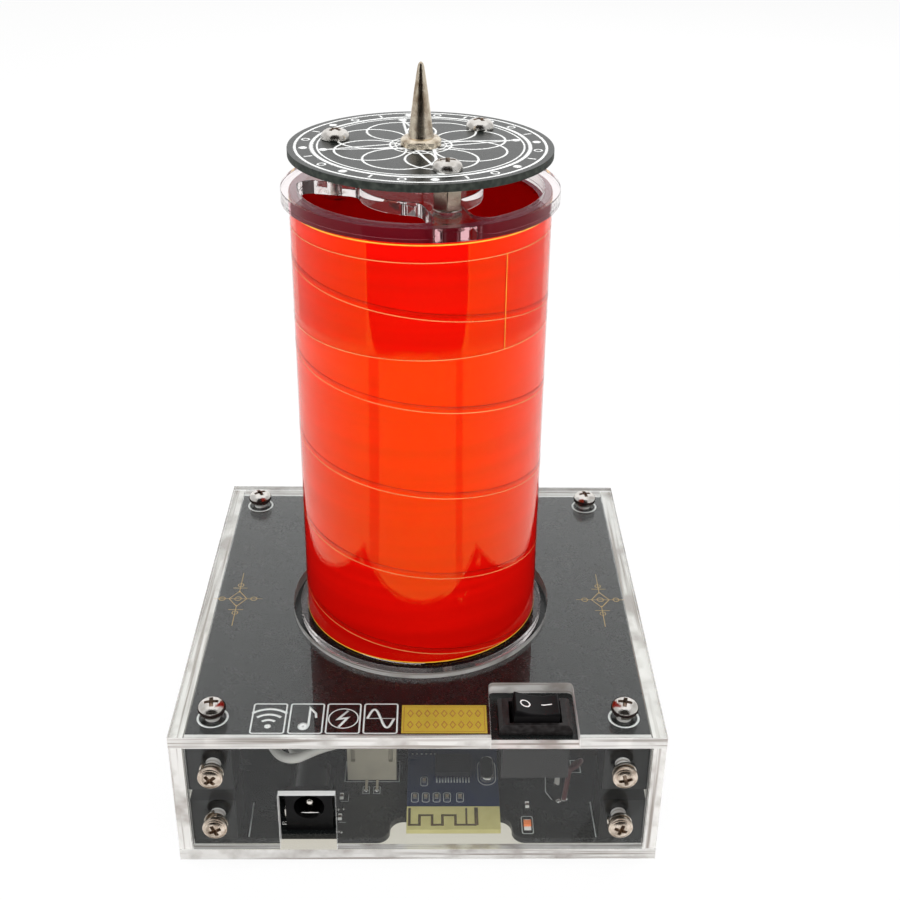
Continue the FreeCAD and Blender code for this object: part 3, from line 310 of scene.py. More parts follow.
    @classmethod
    def trim(cls, obj: Piece, level: float, above: bool) -> Piece:
        """Cut an object off at a level and close the cut.

        Args:
            obj: The object to cut.
            level: Height of the cut in millimetres.
            above: True to take away what is above it.

        Returns:
            The same object.
        """
        cls.open(obj)
        bpy.ops.mesh.bisect(
            plane_co=(0, 0, level * MM), plane_no=(0, 0, 1 if above else -1), use_fill=True, clear_outer=True
        )
        cls.close()
        return obj

    @classmethod
    def move(cls, obj: Piece, place: Point) -> Piece:
        """Move an object's mesh by an offset."""
        obj.data.transform(Matrix.Translation(Vector(place) * MM))
        return obj

    @classmethod
    def subtract(cls, obj: Piece, tool: Piece) -> Piece:
        """Cut a tool's shape out of an object, and remove the tool."""
        cls.modify(obj, "BOOLEAN", object=tool, operation="DIFFERENCE", solver="EXACT")
        bpy.data.objects.remove(tool)
        return obj

    @classmethod
    def join(cls, name: str, pieces: Iterable[Piece]) -> Piece:
        """Join separate objects into one."""
        pieces = list(pieces)
        cls.hold(pieces[0])
        for piece in pieces[1:]:
            piece.select_set(True)
        if len(pieces) > 1:
            bpy.ops.object.join()
        pieces[0].name = name
        return pieces[0]

    @classmethod
    def stamp(cls, name: str, master: Piece, places: Iterable[Matrix]) -> Piece:
        """Copy a master to each place, join the copies and remove the master.

        Args:
            name: Name of the joined object.
            master: The object to copy.
            places: One matrix for each copy, in metres.

        Returns:
            The joined object.
        """
        copies = []
        for place in places:
            copy = bpy.data.objects.new(name, master.data.copy())
            copy.data.transform(place)
            bpy.context.scene.collection.objects.link(copy)
            copies.append(copy)
        bpy.data.objects.remove(master)
        return cls.join(name, copies)


def placed(x: float, y: float, z: float, turn: float = 0.0, facing: str = "up") -> Matrix:
    """Return the place of a copied fastener.

    Args:
        x: Place to the right in millimetres.
        y: Place towards the back.
        z: Height.
        turn: Turn about the fastener's own axis in degrees.
        facing: Where its head points: up, down, front or back.

    Returns:
        The matrix, in metres.
    """
    tilt = {"up": 0, "down": math.pi, "front": math.pi / 2, "back": -math.pi / 2}[facing]
    return (
        Matrix.Translation(Vector((x, y, z)) * MM)
        @ Matrix.Rotation(tilt, 4, "X")
        @ Matrix.Rotation(math.radians(turn), 4, "Z")
    )


# Thin prints.


INK_RISE = 0.08


@dataclass(frozen=True)
class Stroke:
    """A line of ink through flat points, in millimetres."""

    points: tuple[Flat, ...]
    width: float = 0.35
    closed: bool = False


def arc(
    x: float, y: float, radius: float, start: float = 0.0, turn: float = 360.0, steps: int = 24
) -> tuple[Flat, ...]:
    """Return the points of an arc, whose angles are in degrees."""
    count = steps if turn == 360 else steps + 1
    angles = [math.radians(start + turn * number / steps) for number in range(count)]
    return tuple((x + radius * math.cos(angle), y + radius * math.sin(angle)) for angle in angles)


def ring(x: float, y: float, radius: float, width: float = 0.35, steps: int = 48) -> Stroke:
    """Return a round line."""
    return Stroke(arc(x, y, radius, steps=steps), width, True)


def dot(x: float, y: float, radius: float) -> Stroke:
    """Return a filled dot."""
    return Stroke(arc(x, y, radius / 2, steps=12), radius, True)


def frame_line(low: Flat, high: Flat, corner: float = 0.0, width: float = 0.3) -> Stroke:
    """Return a rectangle's outline, with round corners where a radius is given."""
    (left, front), (right, back) = low, high
    if not corner:
        return Stroke(((left, front), (right, front), (right, back), (left, back)), width, True)
    middles = (
        (right - corner, front + corner, -90), (right - corner, back - corner, 0),
        (left + corner, back - corner, 90), (left + corner, front + corner, 180),
    )
    points = tuple(point for x, y, start in middles for point in arc(x, y, corner, start, 90, 5))
    return Stroke(points, width, True)


def ink(name: str, level: float, strokes: Sequence[Stroke]) -> Piece:
    """Lay strokes of ink on a level surface.

    Args:
        name: Name of the new object.
        level: Height of the surface in millimetres.
        strokes: The lines of ink.

    Returns:
        The ink as one mesh.
    """
    bpy.ops.object.select_all(action="DESELECT")
    bpy.ops.curve.primitive_bezier_circle_add(radius=1, location=(0, 0, 0))
    obj = bpy.context.object
    obj.name = name
    data = obj.data
    data.splines.clear()
    data.dimensions = "2D"
    data.fill_mode = "NONE"
    data.bevel_depth = 1.0
    data.bevel_resolution = 0
    data.use_fill_caps = True
    for stroke in strokes:
        spline = data.splines.new("POLY")
        spline.points.add(len(stroke.points) - 1)
        for point, (x, y) in zip(spline.points, stroke.points):
            point.co = (x, y, 0, 1)
            point.radius = stroke.width / 2
        spline.use_cyclic_u = stroke.closed
    bpy.ops.object.convert(target="MESH")
    obj = bpy.context.object
    obj.data.transform(Matrix.Translation((0, 0, level * MM)) @ Matrix.Diagonal((MM, MM, MM * INK_RISE, 1)))
    return Bench.heal(obj, 0.0001)


def drape(piece: Piece, onto: Piece, level: float) -> Piece:
    """Lay a flat piece that was drawn at a level onto the top of another piece."""
    bpy.context.view_layer.update()
    for vertex in piece.data.vertices:
        lift = vertex.co.z - level * MM
        above = Vector((vertex.co.x, vertex.co.y, level * MM + 0.01))
        hit, place, _, _ = onto.ray_cast(above, Vector((0, 0, -1)))
        if hit:
            vertex.co.z = place.z + lift
    return piece


# Node trees and the effects that several finishes share.


def add(
    tree: Tree, kind: str, inputs: dict | None = None, **settings: object
) -> Node:
    """Add a shader node.

    Args:
        tree: The tree that takes the node.
        kind: Type of the node, without its ShaderNode prefix.
        inputs: Socket names or numbers, each with a value or with the output that feeds it.
        **settings: Properties of the node.

    Returns:
        The new node.
    """
    node = tree.nodes.new("ShaderNode" + kind)
    for name, setting in settings.items():
        setattr(node, name, setting)
    for name, given in (inputs or {}).items():
        if isinstance(given, Socket):
            tree.links.new(given, node.inputs[name])
        else:
            node.inputs[name].default_value = given
    return node


def rgba(colour: Colour) -> tuple[float, float, float, float]:
    """Return a colour with full alpha."""
    return (*colour, 1.0)


def maths(tree: Tree, step: str, *terms: object) -> Socket:
    """Add a Math node and return its output."""
    return add(tree, "Math", dict(enumerate(terms)), operation=step).outputs[0]


def mixed(tree: Tree, share: object, first: object, second: object) -> Socket:
    """Add a colour mix and return its output."""
    return add(tree, "Mix", {0: share, 6: first, 7: second}, data_type="RGBA").outputs[2]


def ramp(tree: Tree, source: object, low: float, high: float) -> Socket:
    """Map a value from one range to 0 and 1, and return the output."""
    return add(tree, "MapRange", {"Value": source, "From Min": low, "From Max": high}).outputs[0]


def object_place(tree: Tree) -> Socket:
    """Return the place on the object, in metres."""
    return add(tree, "TexCoord").outputs["Object"]


def noise(tree: Tree, where: object, scale: object, detail: float = 2.0) -> Socket:
    """Add a noise texture and return its value."""
    return add(tree, "TexNoise", {"Vector": where, "Scale": scale, "Detail": detail}).outputs[0]


def mottled(tree: Tree, scale: float, first: Colour, second: Colour) -> Socket:
    """Return a colour that drifts between two over a surface."""
    return mixed(tree, noise(tree, object_place(tree), scale), rgba(first), rgba(second))


def bumped(
    tree: Tree, height: object, strength: float, depth: float, **inputs: object
) -> Socket:
    """Add a bump whose depth is in millimetres and return its normal."""
    given = {"Height": height, "Strength": strength, "Distance": depth * MM, **inputs}
    return add(tree, "Bump", given).outputs[0]


def blended(
    tree: Tree, share: object, first: Node, second: Node
) -> Node:
    """Add a mix of two shaders and return it."""
    return add(tree, "MixShader", {0: share, 1: first.outputs[0], 2: second.outputs[0]})


class Group:
    """A shader node group with named sockets, made once."""

    def __init__(self, name: str, inputs: dict[str, object], outputs: Sequence[str]) -> None:
        """Make an empty group with its sockets."""
        self.tree = bpy.data.node_groups.new(name, "ShaderNodeTree")
        for label, given in inputs.items():
            is_colour = isinstance(given, tuple)
            kind = "NodeSocketColor" if is_colour else "NodeSocketFloat"
            if isinstance(given, Vector):
                kind = "NodeSocketVector"
            socket = self.tree.interface.new_socket(label, in_out="INPUT", socket_type=kind)
            socket.default_value = rgba(given) if is_colour else given
        for label in outputs:
            kind = "NodeSocketColor" if label == "Colour" else "NodeSocketFloat"
            self.tree.interface.new_socket(label, in_out="OUTPUT", socket_type=kind)
        self.given = self.tree.nodes.new("NodeGroupInput").outputs
        self.result = self.tree.nodes.new("NodeGroupOutput").inputs

    def give(self, label: str, source: Socket) -> None:
        """Feed one of the group's outputs."""
        self.tree.links.new(source, self.result[label])


@lru_cache(maxsize=None)
def surface_wear() -> Tree:
    """Return the group for uneven colour, uneven gloss and fine grain."""
    group = Group(
        "surface_wear",
        {"Colour": (0.5, 0.5, 0.5), "Worn": (0.5, 0.5, 0.5), "Scale": 200.0, "Amount": 0.3,
         "Roughness": 0.4, "Spread": 0.1},
        ("Colour", "Roughness", "Height"),
    )
    tree, given = group.tree, group.given
    where = object_place(tree)
    patches = noise(tree, where, given["Scale"], 4.0)
    fine = noise(tree, where, maths(tree, "MULTIPLY", given["Scale"], 9.0), 3.0)
    share = maths(tree, "MULTIPLY", ramp(tree, patches, 0.42, 0.68), given["Amount"])
    group.give("Colour", mixed(tree, share, given["Colour"], given["Worn"]))
    uneven = maths(tree, "MULTIPLY", maths(tree, "SUBTRACT", patches, 0.5), given["Spread"])
    smudge = maths(tree, "MULTIPLY", maths(tree, "SUBTRACT", fine, 0.5), given["Spread"])
    rough = maths(tree, "ADD", given["Roughness"], maths(tree, "ADD", uneven, smudge))
    group.give("Roughness", rough)
    group.give("Height", fine)
    return group.tree


@lru_cache(maxsize=None)
def wire_turns() -> Tree:
    """Return the group for close turns of round wire about an upright axis."""
    group = Group("wire_turns", {"Pitch": 0.0004, "Wander": 0.3}, ("Height", "Shade"))
    tree, given = group.tree, group.given
    where = object_place(tree)
    level = add(tree, "SeparateXYZ", {0: where}).outputs[2]
    drift = maths(tree, "MULTIPLY", noise(tree, where, 60.0), given["Wander"])
    turns = maths(tree, "ADD", maths(tree, "DIVIDE", level, given["Pitch"]), drift)
    part = maths(tree, "SUBTRACT", maths(tree, "FRACT", turns), 0.5)
    bulge = maths(tree, "SQRT", maths(tree, "SUBTRACT", 0.2501, maths(tree, "MULTIPLY", part, part)))
    group.give("Height", maths(tree, "MULTIPLY", bulge, 2.0))
    stretched = add(tree, "Mapping", {"Vector": where, "Scale": (14.0, 14.0, 900.0)}).outputs[0]
    group.give("Shade", ramp(tree, noise(tree, stretched, 1.0, 5.0), 0.35, 0.7))
    return group.tree


@lru_cache(maxsize=None)
def saw_streaks() -> Tree:
    """Return the group for the streaks and the spots that cutting leaves on a clear edge."""
    group = Group("saw_streaks", {"Where": Vector((0, 0, 0))}, ("Shade", "Gloss", "Height"))
    tree, given = group.tree, group.given
    streaks = noise(tree, given["Where"], 1.0, 4.0)
    spots = ramp(tree, noise(tree, object_place(tree), 110.0, 4.0), 0.47, 0.66)
    spot = maths(tree, "MULTIPLY", spots, 0.8)
    group.give("Shade", maths(tree, "MAXIMUM", ramp(tree, streaks, 0.50, 0.66), spot))
    group.give("Gloss", ramp(tree, noise(tree, given["Where"], 0.35), 0.35, 0.65))
    group.give("Height", streaks)
    return group.tree


def wear_node(tree: Tree, **values: object) -> Node:
    """Place the surface wear group in a material with its own values."""
    inputs = {label: rgba(given) if isinstance(given, tuple) else given for label, given in values.items()}
    return add(tree, "Group", inputs, node_tree=surface_wear())


def blank(name: str) -> tuple[Material, Tree, Node]:
    """Make a material with nothing in it but its output."""
    material = bpy.data.materials.new(name)
    material.use_nodes = True
    material.node_tree.nodes.clear()
    return material, material.node_tree, add(material.node_tree, "OutputMaterial")


# Finishes.


@dataclass(frozen=True)
class Solid:
    """An opaque finish with uneven colour, uneven gloss and a fine grain."""

    name: str
    colour: Colour
    worn: Colour
    roughness: float = 0.4
    metallic: float = 0.0
    coat: float = 0.0
    specular: float = 0.5
    scale: float = 200.0
    amount: float = 0.35
    spread: float = 0.12
    grain: float = 0.05
    grain_depth: float = 0.02
    anisotropic: float = 0.0

    def material(self) -> Material:
        """Make the material."""
        material, tree, out = blank(self.name)
        wear = wear_node(
            tree, Colour=self.colour, Worn=self.worn, Scale=self.scale, Amount=self.amount,
            Roughness=self.roughness, Spread=self.spread,
        )
        grain = bumped(tree, wear.outputs["Height"], self.grain, self.grain_depth)
        shader = add(tree, "BsdfPrincipled", {
            "Base Color": wear.outputs["Colour"], "Roughness": wear.outputs["Roughness"], "Normal": grain,
            "Metallic": self.metallic, "Coat Weight": self.coat, "Coat Roughness": 0.08,
            "Specular IOR Level": self.specular, "Anisotropic": self.anisotropic,
        })
        tree.links.new(shader.outputs[0], out.inputs[0])
        return material


@dataclass(frozen=True)
class Clear:
    """Clear cast plastic, polished or with a pale sawn edge, which lets the lamps' shadow rays pass."""

    name: str
    colour: Colour
    roughness: float
    transmission: float = 1.0
    ior: float = 1.49
    spread: float = 0.02
    shade: Colour = (0.94, 0.95, 0.95)
    saw: float = 0.0
    glint: float = 1.0
    streaks: Point | None = None
    streak_colour: Colour = (0.33, 0.29, 0.26)

    def material(self) -> Material:
        """Make the material."""
        material, tree, out = blank(self.name)
        wear = wear_node(
            tree, Colour=self.colour, Worn=self.colour, Scale=70.0, Amount=0.0,
            Roughness=self.roughness, Spread=self.spread,
        )
        inputs = {
            "Base Color": wear.outputs["Colour"], "Roughness": wear.outputs["Roughness"],
            "Transmission Weight": self.transmission, "IOR": self.ior, "Metallic": 0.0,
            "Specular Tint": rgba((self.glint,) * 3),
        }
        where = object_place(tree)
        if self.streaks:
            stretched = add(tree, "Mapping", {"Vector": where, "Scale": self.streaks}).outputs[0]
            marks = add(tree, "Group", {"Where": stretched}, node_tree=saw_streaks()).outputs
            inputs["Base Color"] = mixed(tree, marks["Shade"], rgba(self.colour), rgba(self.streak_colour))
            inputs["Roughness"] = maths(tree, "MULTIPLY_ADD", marks["Gloss"], self.spread, self.roughness)
            inputs["Normal"] = bumped(tree, marks["Height"], self.saw, 0.1)
        elif self.saw:
            inputs["Normal"] = bumped(tree, noise(tree, where, 420.0, 3.0), self.saw, 0.05)
        shader = add(tree, "BsdfPrincipled", inputs)
        shadow = add(tree, "LightPath").outputs["Is Shadow Ray"]
        passing = add(tree, "BsdfTransparent", {"Color": rgba(self.shade)})
        tree.links.new(blended(tree, shadow, shader, passing).outputs[0], out.inputs[0])
        return material


@dataclass(frozen=True)
class Winding:
    """Close turns of enamelled red wire under a clear coat, with painted shade low down and a painted dim
    look in reflections.
    """

    name: str = "enamelled_winding"
    colour: Colour = (1.0, 0.004, 0.002)
    deep: Colour = (0.62, 0.002, 0.001)
    glint: Colour = (1.0, 0.50, 0.0)
    painted_reflection: Colour = (0.10, 0.004, 0.004)
    pitch: float = 0.22
    streak_share: float = 0.45
    wave_scale: float = 150.0
    wave_depth: float = 0.02
    painted_reflection_share: float = 0.8
    # Painted shade: between these heights the colour dims towards the foot, where less light falls.
    low: float = 0.040
    high: float = 0.135
    painted_shade_share: float = 0.72
    through: float = 0.15
    from_within: float = 0.72

    def material(self) -> Material:
        """Make the material."""
        material, tree, out = blank(self.name)
        where = object_place(tree)
        turns = add(tree, "Group", {"Pitch": self.pitch * MM}, node_tree=wire_turns()).outputs
        shade = maths(tree, "MULTIPLY", turns["Shade"], self.streak_share)
        plain = mixed(tree, shade, rgba(self.colour), rgba(self.deep))
        # Painted shade: the colour dims towards the winding's foot, where less light falls.
        height = add(tree, "SeparateXYZ", {0: where}).outputs[2]
        lower = maths(tree, "SUBTRACT", 1.0, ramp(tree, height, self.low, self.high))
        painted_low_shade = maths(tree, "MULTIPLY", lower, 1 - self.painted_shade_share)
        ridges = bumped(tree, turns["Height"], 0.003, self.pitch / 2)
        waves = bumped(tree, noise(tree, where, self.wave_scale), 1.0, self.wave_depth, Normal=ridges)
        shader = add(tree, "BsdfPrincipled", {
            "Base Color": mixed(tree, painted_low_shade, plain, (0, 0, 0, 1)), "Roughness": 0.035, "IOR": 2.0,
            "Specular Tint": rgba(self.glint), "Normal": waves, "Coat Weight": 0.04, "Coat Roughness": 0.02,
            "Coat IOR": 1.45,
        })
        glow = add(tree, "BsdfTranslucent", {"Color": rgba(self.colour)})
        within = {"Value": add(tree, "NewGeometry").outputs["Backfacing"]}
        reach = {"To Min": self.through, "To Max": self.from_within}
        body = blended(tree, add(tree, "MapRange", {**within, **reach}).outputs[0], shader, glow)
        # Painted reflection: glossy rays see the winding mostly as a dim dark red, so it shows dim in the
        # clear sheets and in the metal.
        dim = add(tree, "BsdfDiffuse", {"Color": rgba(self.painted_reflection)})
        share = maths(tree, "MULTIPLY", add(tree, "LightPath").outputs["Is Glossy Ray"], self.painted_reflection_share)
        tree.links.new(blended(tree, share, body, dim).outputs[0], out.inputs[0])
        return material


@dataclass(frozen=True)
class Film:
    """Thin clear film of one colour with a faint, uneven alpha; along its edges it carries painted highlights
    and painted shade.
    """

    name: str
    colour: Colour
    alpha: float
    roughness: float = 0.05

    def material(self) -> Material:
        """Make the material."""
        material, tree, out = blank(self.name)
        patches = ramp(tree, noise(tree, object_place(tree), 90.0, 3.0), 0.3, 0.75)
        spread = maths(tree, "MULTIPLY", patches, self.alpha)
        alpha = maths(tree, "ADD", spread, self.alpha * 0.5)
        shader = add(tree, "BsdfPrincipled", {
            "Base Color": rgba(self.colour), "Roughness": self.roughness, "Alpha": alpha, "IOR": 1.45,
        })
        tree.links.new(shader.outputs[0], out.inputs[0])
        return material


def sawn_edge(name: str, streaks: Point) -> Clear:
    """Return the finish of a sheet's sawn edge, with its streaks stretched along two axes."""
    # Partly real and partly painted light: the pale, mostly opaque colour is the frosted cut and also the
    # light that the sheet carries to its edges.
    return Clear(name, (0.86, 0.845, 0.82), 0.05, 0.36, spread=0.16, saw=0.5, streaks=streaks)


class Tone(Enum):
    """Every finish of the object, by the piece that wears it."""

    ACRYLIC = Clear("clear_acrylic_face", (0.97, 0.985, 0.98), 0.01, glint=0.42)
    LEVEL_EDGE = sawn_edge("clear_edge_of_level_sheet", (22.0, 22.0, 1100.0))
    FRONT_EDGE = sawn_edge("clear_edge_of_front_sheet", (22.0, 1100.0, 22.0))
    SIDE_EDGE = sawn_edge("clear_edge_of_side_sheet", (1100.0, 22.0, 22.0))
    # Partly the frosted cut and partly painted light: the notch's cut face is near-opaque white for the light
    # that the sheet carries to it.
    NOTCH_EDGE = Clear("clear_edge_of_notch", (1.0, 0.995, 0.985), 0.08, 0.12, spread=0.1, saw=0.2)
    # Painted red light: the faint pink tint stands for the winding's light that the flanges pick up.
    FLANGE_FACE = Clear("red_lit_flange_face", (0.985, 0.92, 0.93), 0.01, glint=0.25)
    TUBE_END = Clear("red_lit_tube_end", (0.19, 0.03, 0.05), 0.15, 0.0, ior=1.12, spread=0.05, saw=0.1,
                     glint=0.3)
    # Painted red light: a maroon tint on the front of the top flange's rim.
    FLANGE_FRONT = Clear("red_lit_flange_front", (0.78, 0.27, 0.32), 0.015, glint=0.25)
    FLANGE_WALL = Clear("red_lit_flange_wall", (0.17, 0.010, 0.022), 0.2, 0.12, spread=0.05, saw=0.1,
                        glint=0.3)
    FLANGE_EDGE = Clear("clear_flange_edge", (0.99, 0.94, 0.93), 0.015, 0.94, spread=0.03, saw=0.03)
    FOOT = Clear("clear_foot", (0.88, 0.89, 0.88), 0.35, 0.75)
    NYLON = Solid("black_moulded_nylon", (0.006, 0.006, 0.006), (0.012, 0.012, 0.012), 0.42, specular=0.2,
                  grain=0.12)
    NICKEL = Solid("bright_nickel", (0.82, 0.79, 0.75), (0.52, 0.48, 0.43), 0.2, 1.0, amount=0.6,
                   scale=500.0, grain=0.25, grain_depth=0.1)
    WARM_NICKEL = Solid("warm_nickel", (0.74, 0.64, 0.54), (0.36, 0.26, 0.19), 0.24, 1.0, amount=0.7,
                        scale=700.0, grain=0.3, grain_depth=0.1)
    SPRING = Solid("spring_steel", (0.66, 0.62, 0.56), (0.34, 0.29, 0.24), 0.2, 1.0, grain=0.1)
    POST = Solid("nickelled_post", (0.58, 0.51, 0.41), (0.44, 0.37, 0.28), 0.24, 1.0, amount=0.7, scale=500.0)
    SPIKE = Solid("plated_spike", (0.84, 0.74, 0.59), (0.36, 0.26, 0.17), 0.17, 1.0, amount=0.9,
                  scale=450.0, grain=0.55, grain_depth=0.12)
    BOARD = Solid("black_board_mask", (0.006, 0.007, 0.007), (0.010, 0.011, 0.011), 0.26, specular=0.35,
                  grain=0.03)
    DISC = Solid("black_disc_mask", (0.008, 0.010, 0.009), (0.016, 0.020, 0.017), 0.28, specular=0.42,
                 grain=0.06)
    BOARD_EDGE = Solid("board_edge", (0.012, 0.016, 0.013), (0.035, 0.042, 0.034), 0.6, specular=0.3,
                       amount=1.0, grain=0.6, grain_depth=0.1, scale=900.0)
    BLUE_BOARD = Solid("blue_board_mask", (0.006, 0.015, 0.055), (0.010, 0.022, 0.048), 0.3, specular=0.35,
                       amount=0.8)
    LAMINATE = Solid("bare_laminate", (0.60, 0.54, 0.23), (0.49, 0.43, 0.17), 0.5, amount=0.5, scale=400.0)
    GLOSS_BLACK = Solid("black_moulding", (0.0025, 0.0024, 0.0026), (0.006, 0.006, 0.006), 0.3,
                        specular=0.1, grain=0.08)
    CONTACT = Solid("tinned_contact", (0.83, 0.80, 0.75), (0.66, 0.62, 0.56), 0.2, 1.0)
    CHIP = Solid("chip_moulding", (0.009, 0.010, 0.014), (0.014, 0.015, 0.019), 0.5, specular=0.2, grain=0.2)
    CRYSTAL = Solid("drawn_can", (0.72, 0.71, 0.69), (0.55, 0.54, 0.52), 0.22, 1.0)
    CERAMIC = Solid("small_part", (0.30, 0.25, 0.19), (0.20, 0.16, 0.12), 0.4)
    LAMP = Solid("lamp_lens", (1.0, 0.24, 0.06), (1.0, 0.45, 0.20), 0.25, coat=0.3)
    CREAM = Solid("cream_moulding", (0.46, 0.42, 0.33), (0.36, 0.32, 0.25), 0.4, amount=0.7, grain=0.3)
    WHITE_WIRE = Solid("white_insulation", (0.64, 0.62, 0.58), (0.52, 0.50, 0.46), 0.38)
    # Painted shade: the red lead's colour is dimmed as if it lay in shadow.
    RED_WIRE = Solid("red_insulation_in_painted_shade", (0.10, 0.035, 0.035), (0.16, 0.07, 0.07), 0.4, amount=0.6)
    FORMER = Solid("former_moulding", (0.55, 0.54, 0.50), (0.44, 0.43, 0.40), 0.45)
    ALUMINIUM = Solid("extruded_aluminium", (0.55, 0.56, 0.57), (0.40, 0.41, 0.42), 0.34, 1.0,
                      anisotropic=0.4)
    SLEEVE = Solid("capacitor_sleeve", (0.012, 0.014, 0.022), (0.02, 0.024, 0.034), 0.3, coat=0.2)
    FILM_CASE = Solid("film_capacitor_case", (0.42, 0.10, 0.03), (0.30, 0.07, 0.02), 0.35, coat=0.2)
    COPPER = Solid("enamelled_copper", (0.60, 0.09, 0.03), (0.40, 0.05, 0.02), 0.25, 0.6)
    WHITE_INK = Solid("white_ink", (0.82, 0.83, 0.82), (0.70, 0.71, 0.70), 0.5, amount=0.5, scale=900.0)
    GOLD_INK = Solid("gold_ink", (0.55, 0.36, 0.10), (0.42, 0.26, 0.06), 0.45, 0.2, amount=0.4)
    GOLD_PATCH = Solid("gold_plating", (0.60, 0.44, 0.055), (0.50, 0.35, 0.04), 0.35, 0.3, amount=0.5)
    RED_WINDING = Winding()
    WINDING_INSIDE = Winding("winding_inside", painted_shade_share=1.0, through=0.85, from_within=0.9)
    FILM_FACE = Film("clear_film_face", (0.80, 0.01, 0.0), 0.012)
    # Painted highlight: the film's edges as bright orange lines.
    FILM_EDGE = Film("film_edge_painted_highlight", (1.0, 0.36, 0.12), 0.46, 0.2)
    FILM_OVERLAP = Film("doubled_film", (0.50, 0.01, 0.004), 0.10)
    FILM_SHADE = Film("shaded_film_edge", (0.30, 0.006, 0.003), 0.45)
    BAND_FACE = Film("film_band_face", (1.0, 0.06, 0.0), 0.012)
    # Painted highlight: the band's upright end as a bright orange line.
    BAND_END = Film("film_band_end_painted_highlight", (1.0, 0.28, 0.02), 0.85, 0.2)
    GLUE = Solid("amber_glue", (0.90, 0.50, 0.03), (0.70, 0.28, 0.02), 0.3, amount=0.6, scale=600.0)
    RECESS = Solid("shaded_recess", (0.50, 0.38, 0.29), (0.035, 0.018, 0.012), 0.35, 0.9, amount=1.0,
                   scale=1300.0, grain=0.3)
    HOUSING = Solid("grained_black_moulding", (0.007, 0.0055, 0.0055), (0.022, 0.020, 0.020), 0.42,
                    specular=0.35, amount=0.9, scale=900.0, grain=0.5, grain_depth=0.04)
    ROCKER = Solid("black_rocker", (0.004, 0.0038, 0.004), (0.008, 0.0075, 0.008), 0.32, specular=0.13,
                   grain=0.08)
    PATCH_INK = Solid("russet_ink", (0.42, 0.17, 0.04), (0.32, 0.10, 0.03), 0.5, amount=0.5)
    CHIP_BROWN = Solid("brown_chip_body", (0.10, 0.06, 0.05), (0.14, 0.09, 0.07), 0.45)
    TRACE = Solid("aerial_trace", (0.085, 0.055, 0.022), (0.12, 0.08, 0.03), 0.4)
    SILVER_INK = Solid("pale_board_print", (0.56, 0.58, 0.57), (0.40, 0.41, 0.40), 0.5, amount=0.6,
                       scale=900.0)
    SOLDER = Solid("bright_solder", (0.86, 0.85, 0.83), (0.68, 0.67, 0.65), 0.14, 1.0, grain=0.15,
                   grain_depth=0.1)
    LED_BASE = Solid("lamp_base", (0.95, 0.94, 0.90), (0.80, 0.78, 0.74), 0.4)

    @lru_cache(maxsize=None)
    def material(self) -> Material:
        """Make the finish's material once."""
        return self.value.material()


# How pieces join the frame.


def enter(
    piece: Piece, tone: Tone | None, nodes: Sequence[str] = (), body: str = "case", slot: str = ""
) -> Piece:
    """Give a piece its finish and its body, and log it.

    Args:
        piece: The finished object.
        tone: Its finish, or None where its faces already have theirs.
        nodes: The frame nodes that it stands for.
        body: The body that it rides on, where it stands for no node.
        slot: Not used.

    Returns:
        The piece.
    """
    if tone is not None:
        piece.data.materials.clear()
        piece.data.materials.append(tone.material())
    if nodes:
        body = frame["nodes"][nodes[0]]["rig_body"]
    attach(piece, body)
    if nodes:
        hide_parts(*nodes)
    LOG.info("%s: %d faces, %s", piece.name, len(piece.data.polygons), ", ".join(nodes) or "added")
    return piece


def dress(
    node: str, tone: Tone, width: float = 0.12, shrink: float = 0.0, segments: int = 2
) -> Piece:
    """Stand in for a frame node with a merged copy that has softened edges.

    Args:
        node: Name of the frame node.
        tone: Its finish.
        width: Width of the softened edges in millimetres.
        shrink: How far its faces are drawn in.
        segments: Number of faces across a softened edge.

    Returns:
        The new piece.
    """
    piece = Bench.copy_of(node, f"{node}_finished")
    if shrink:
        Bench.shrink(piece, shrink)
    Bench.soften(piece, width, segments)
    return enter(piece, tone, [node])


def colour_faces(piece: Piece, tone: Tone, test: FaceTest) -> None:
    """Give a second finish to the faces that pass a test."""
    Bench.pick(piece, test)
    piece.data.materials.append(tone.material())
    piece.active_material_index = len(piece.data.materials) - 1
    bpy.ops.object.material_slot_assign()
    Bench.close()


def recolour(node: str, tone: Tone) -> None:
    """Give a frame node that keeps its own mesh its finish."""
    material = tone.material()
    for slot in frame["nodes"][node].material_slots:
        slot.material = material
    LOG.info("%s: frame mesh with %s", node, material.name)


# Sub-assemblies.


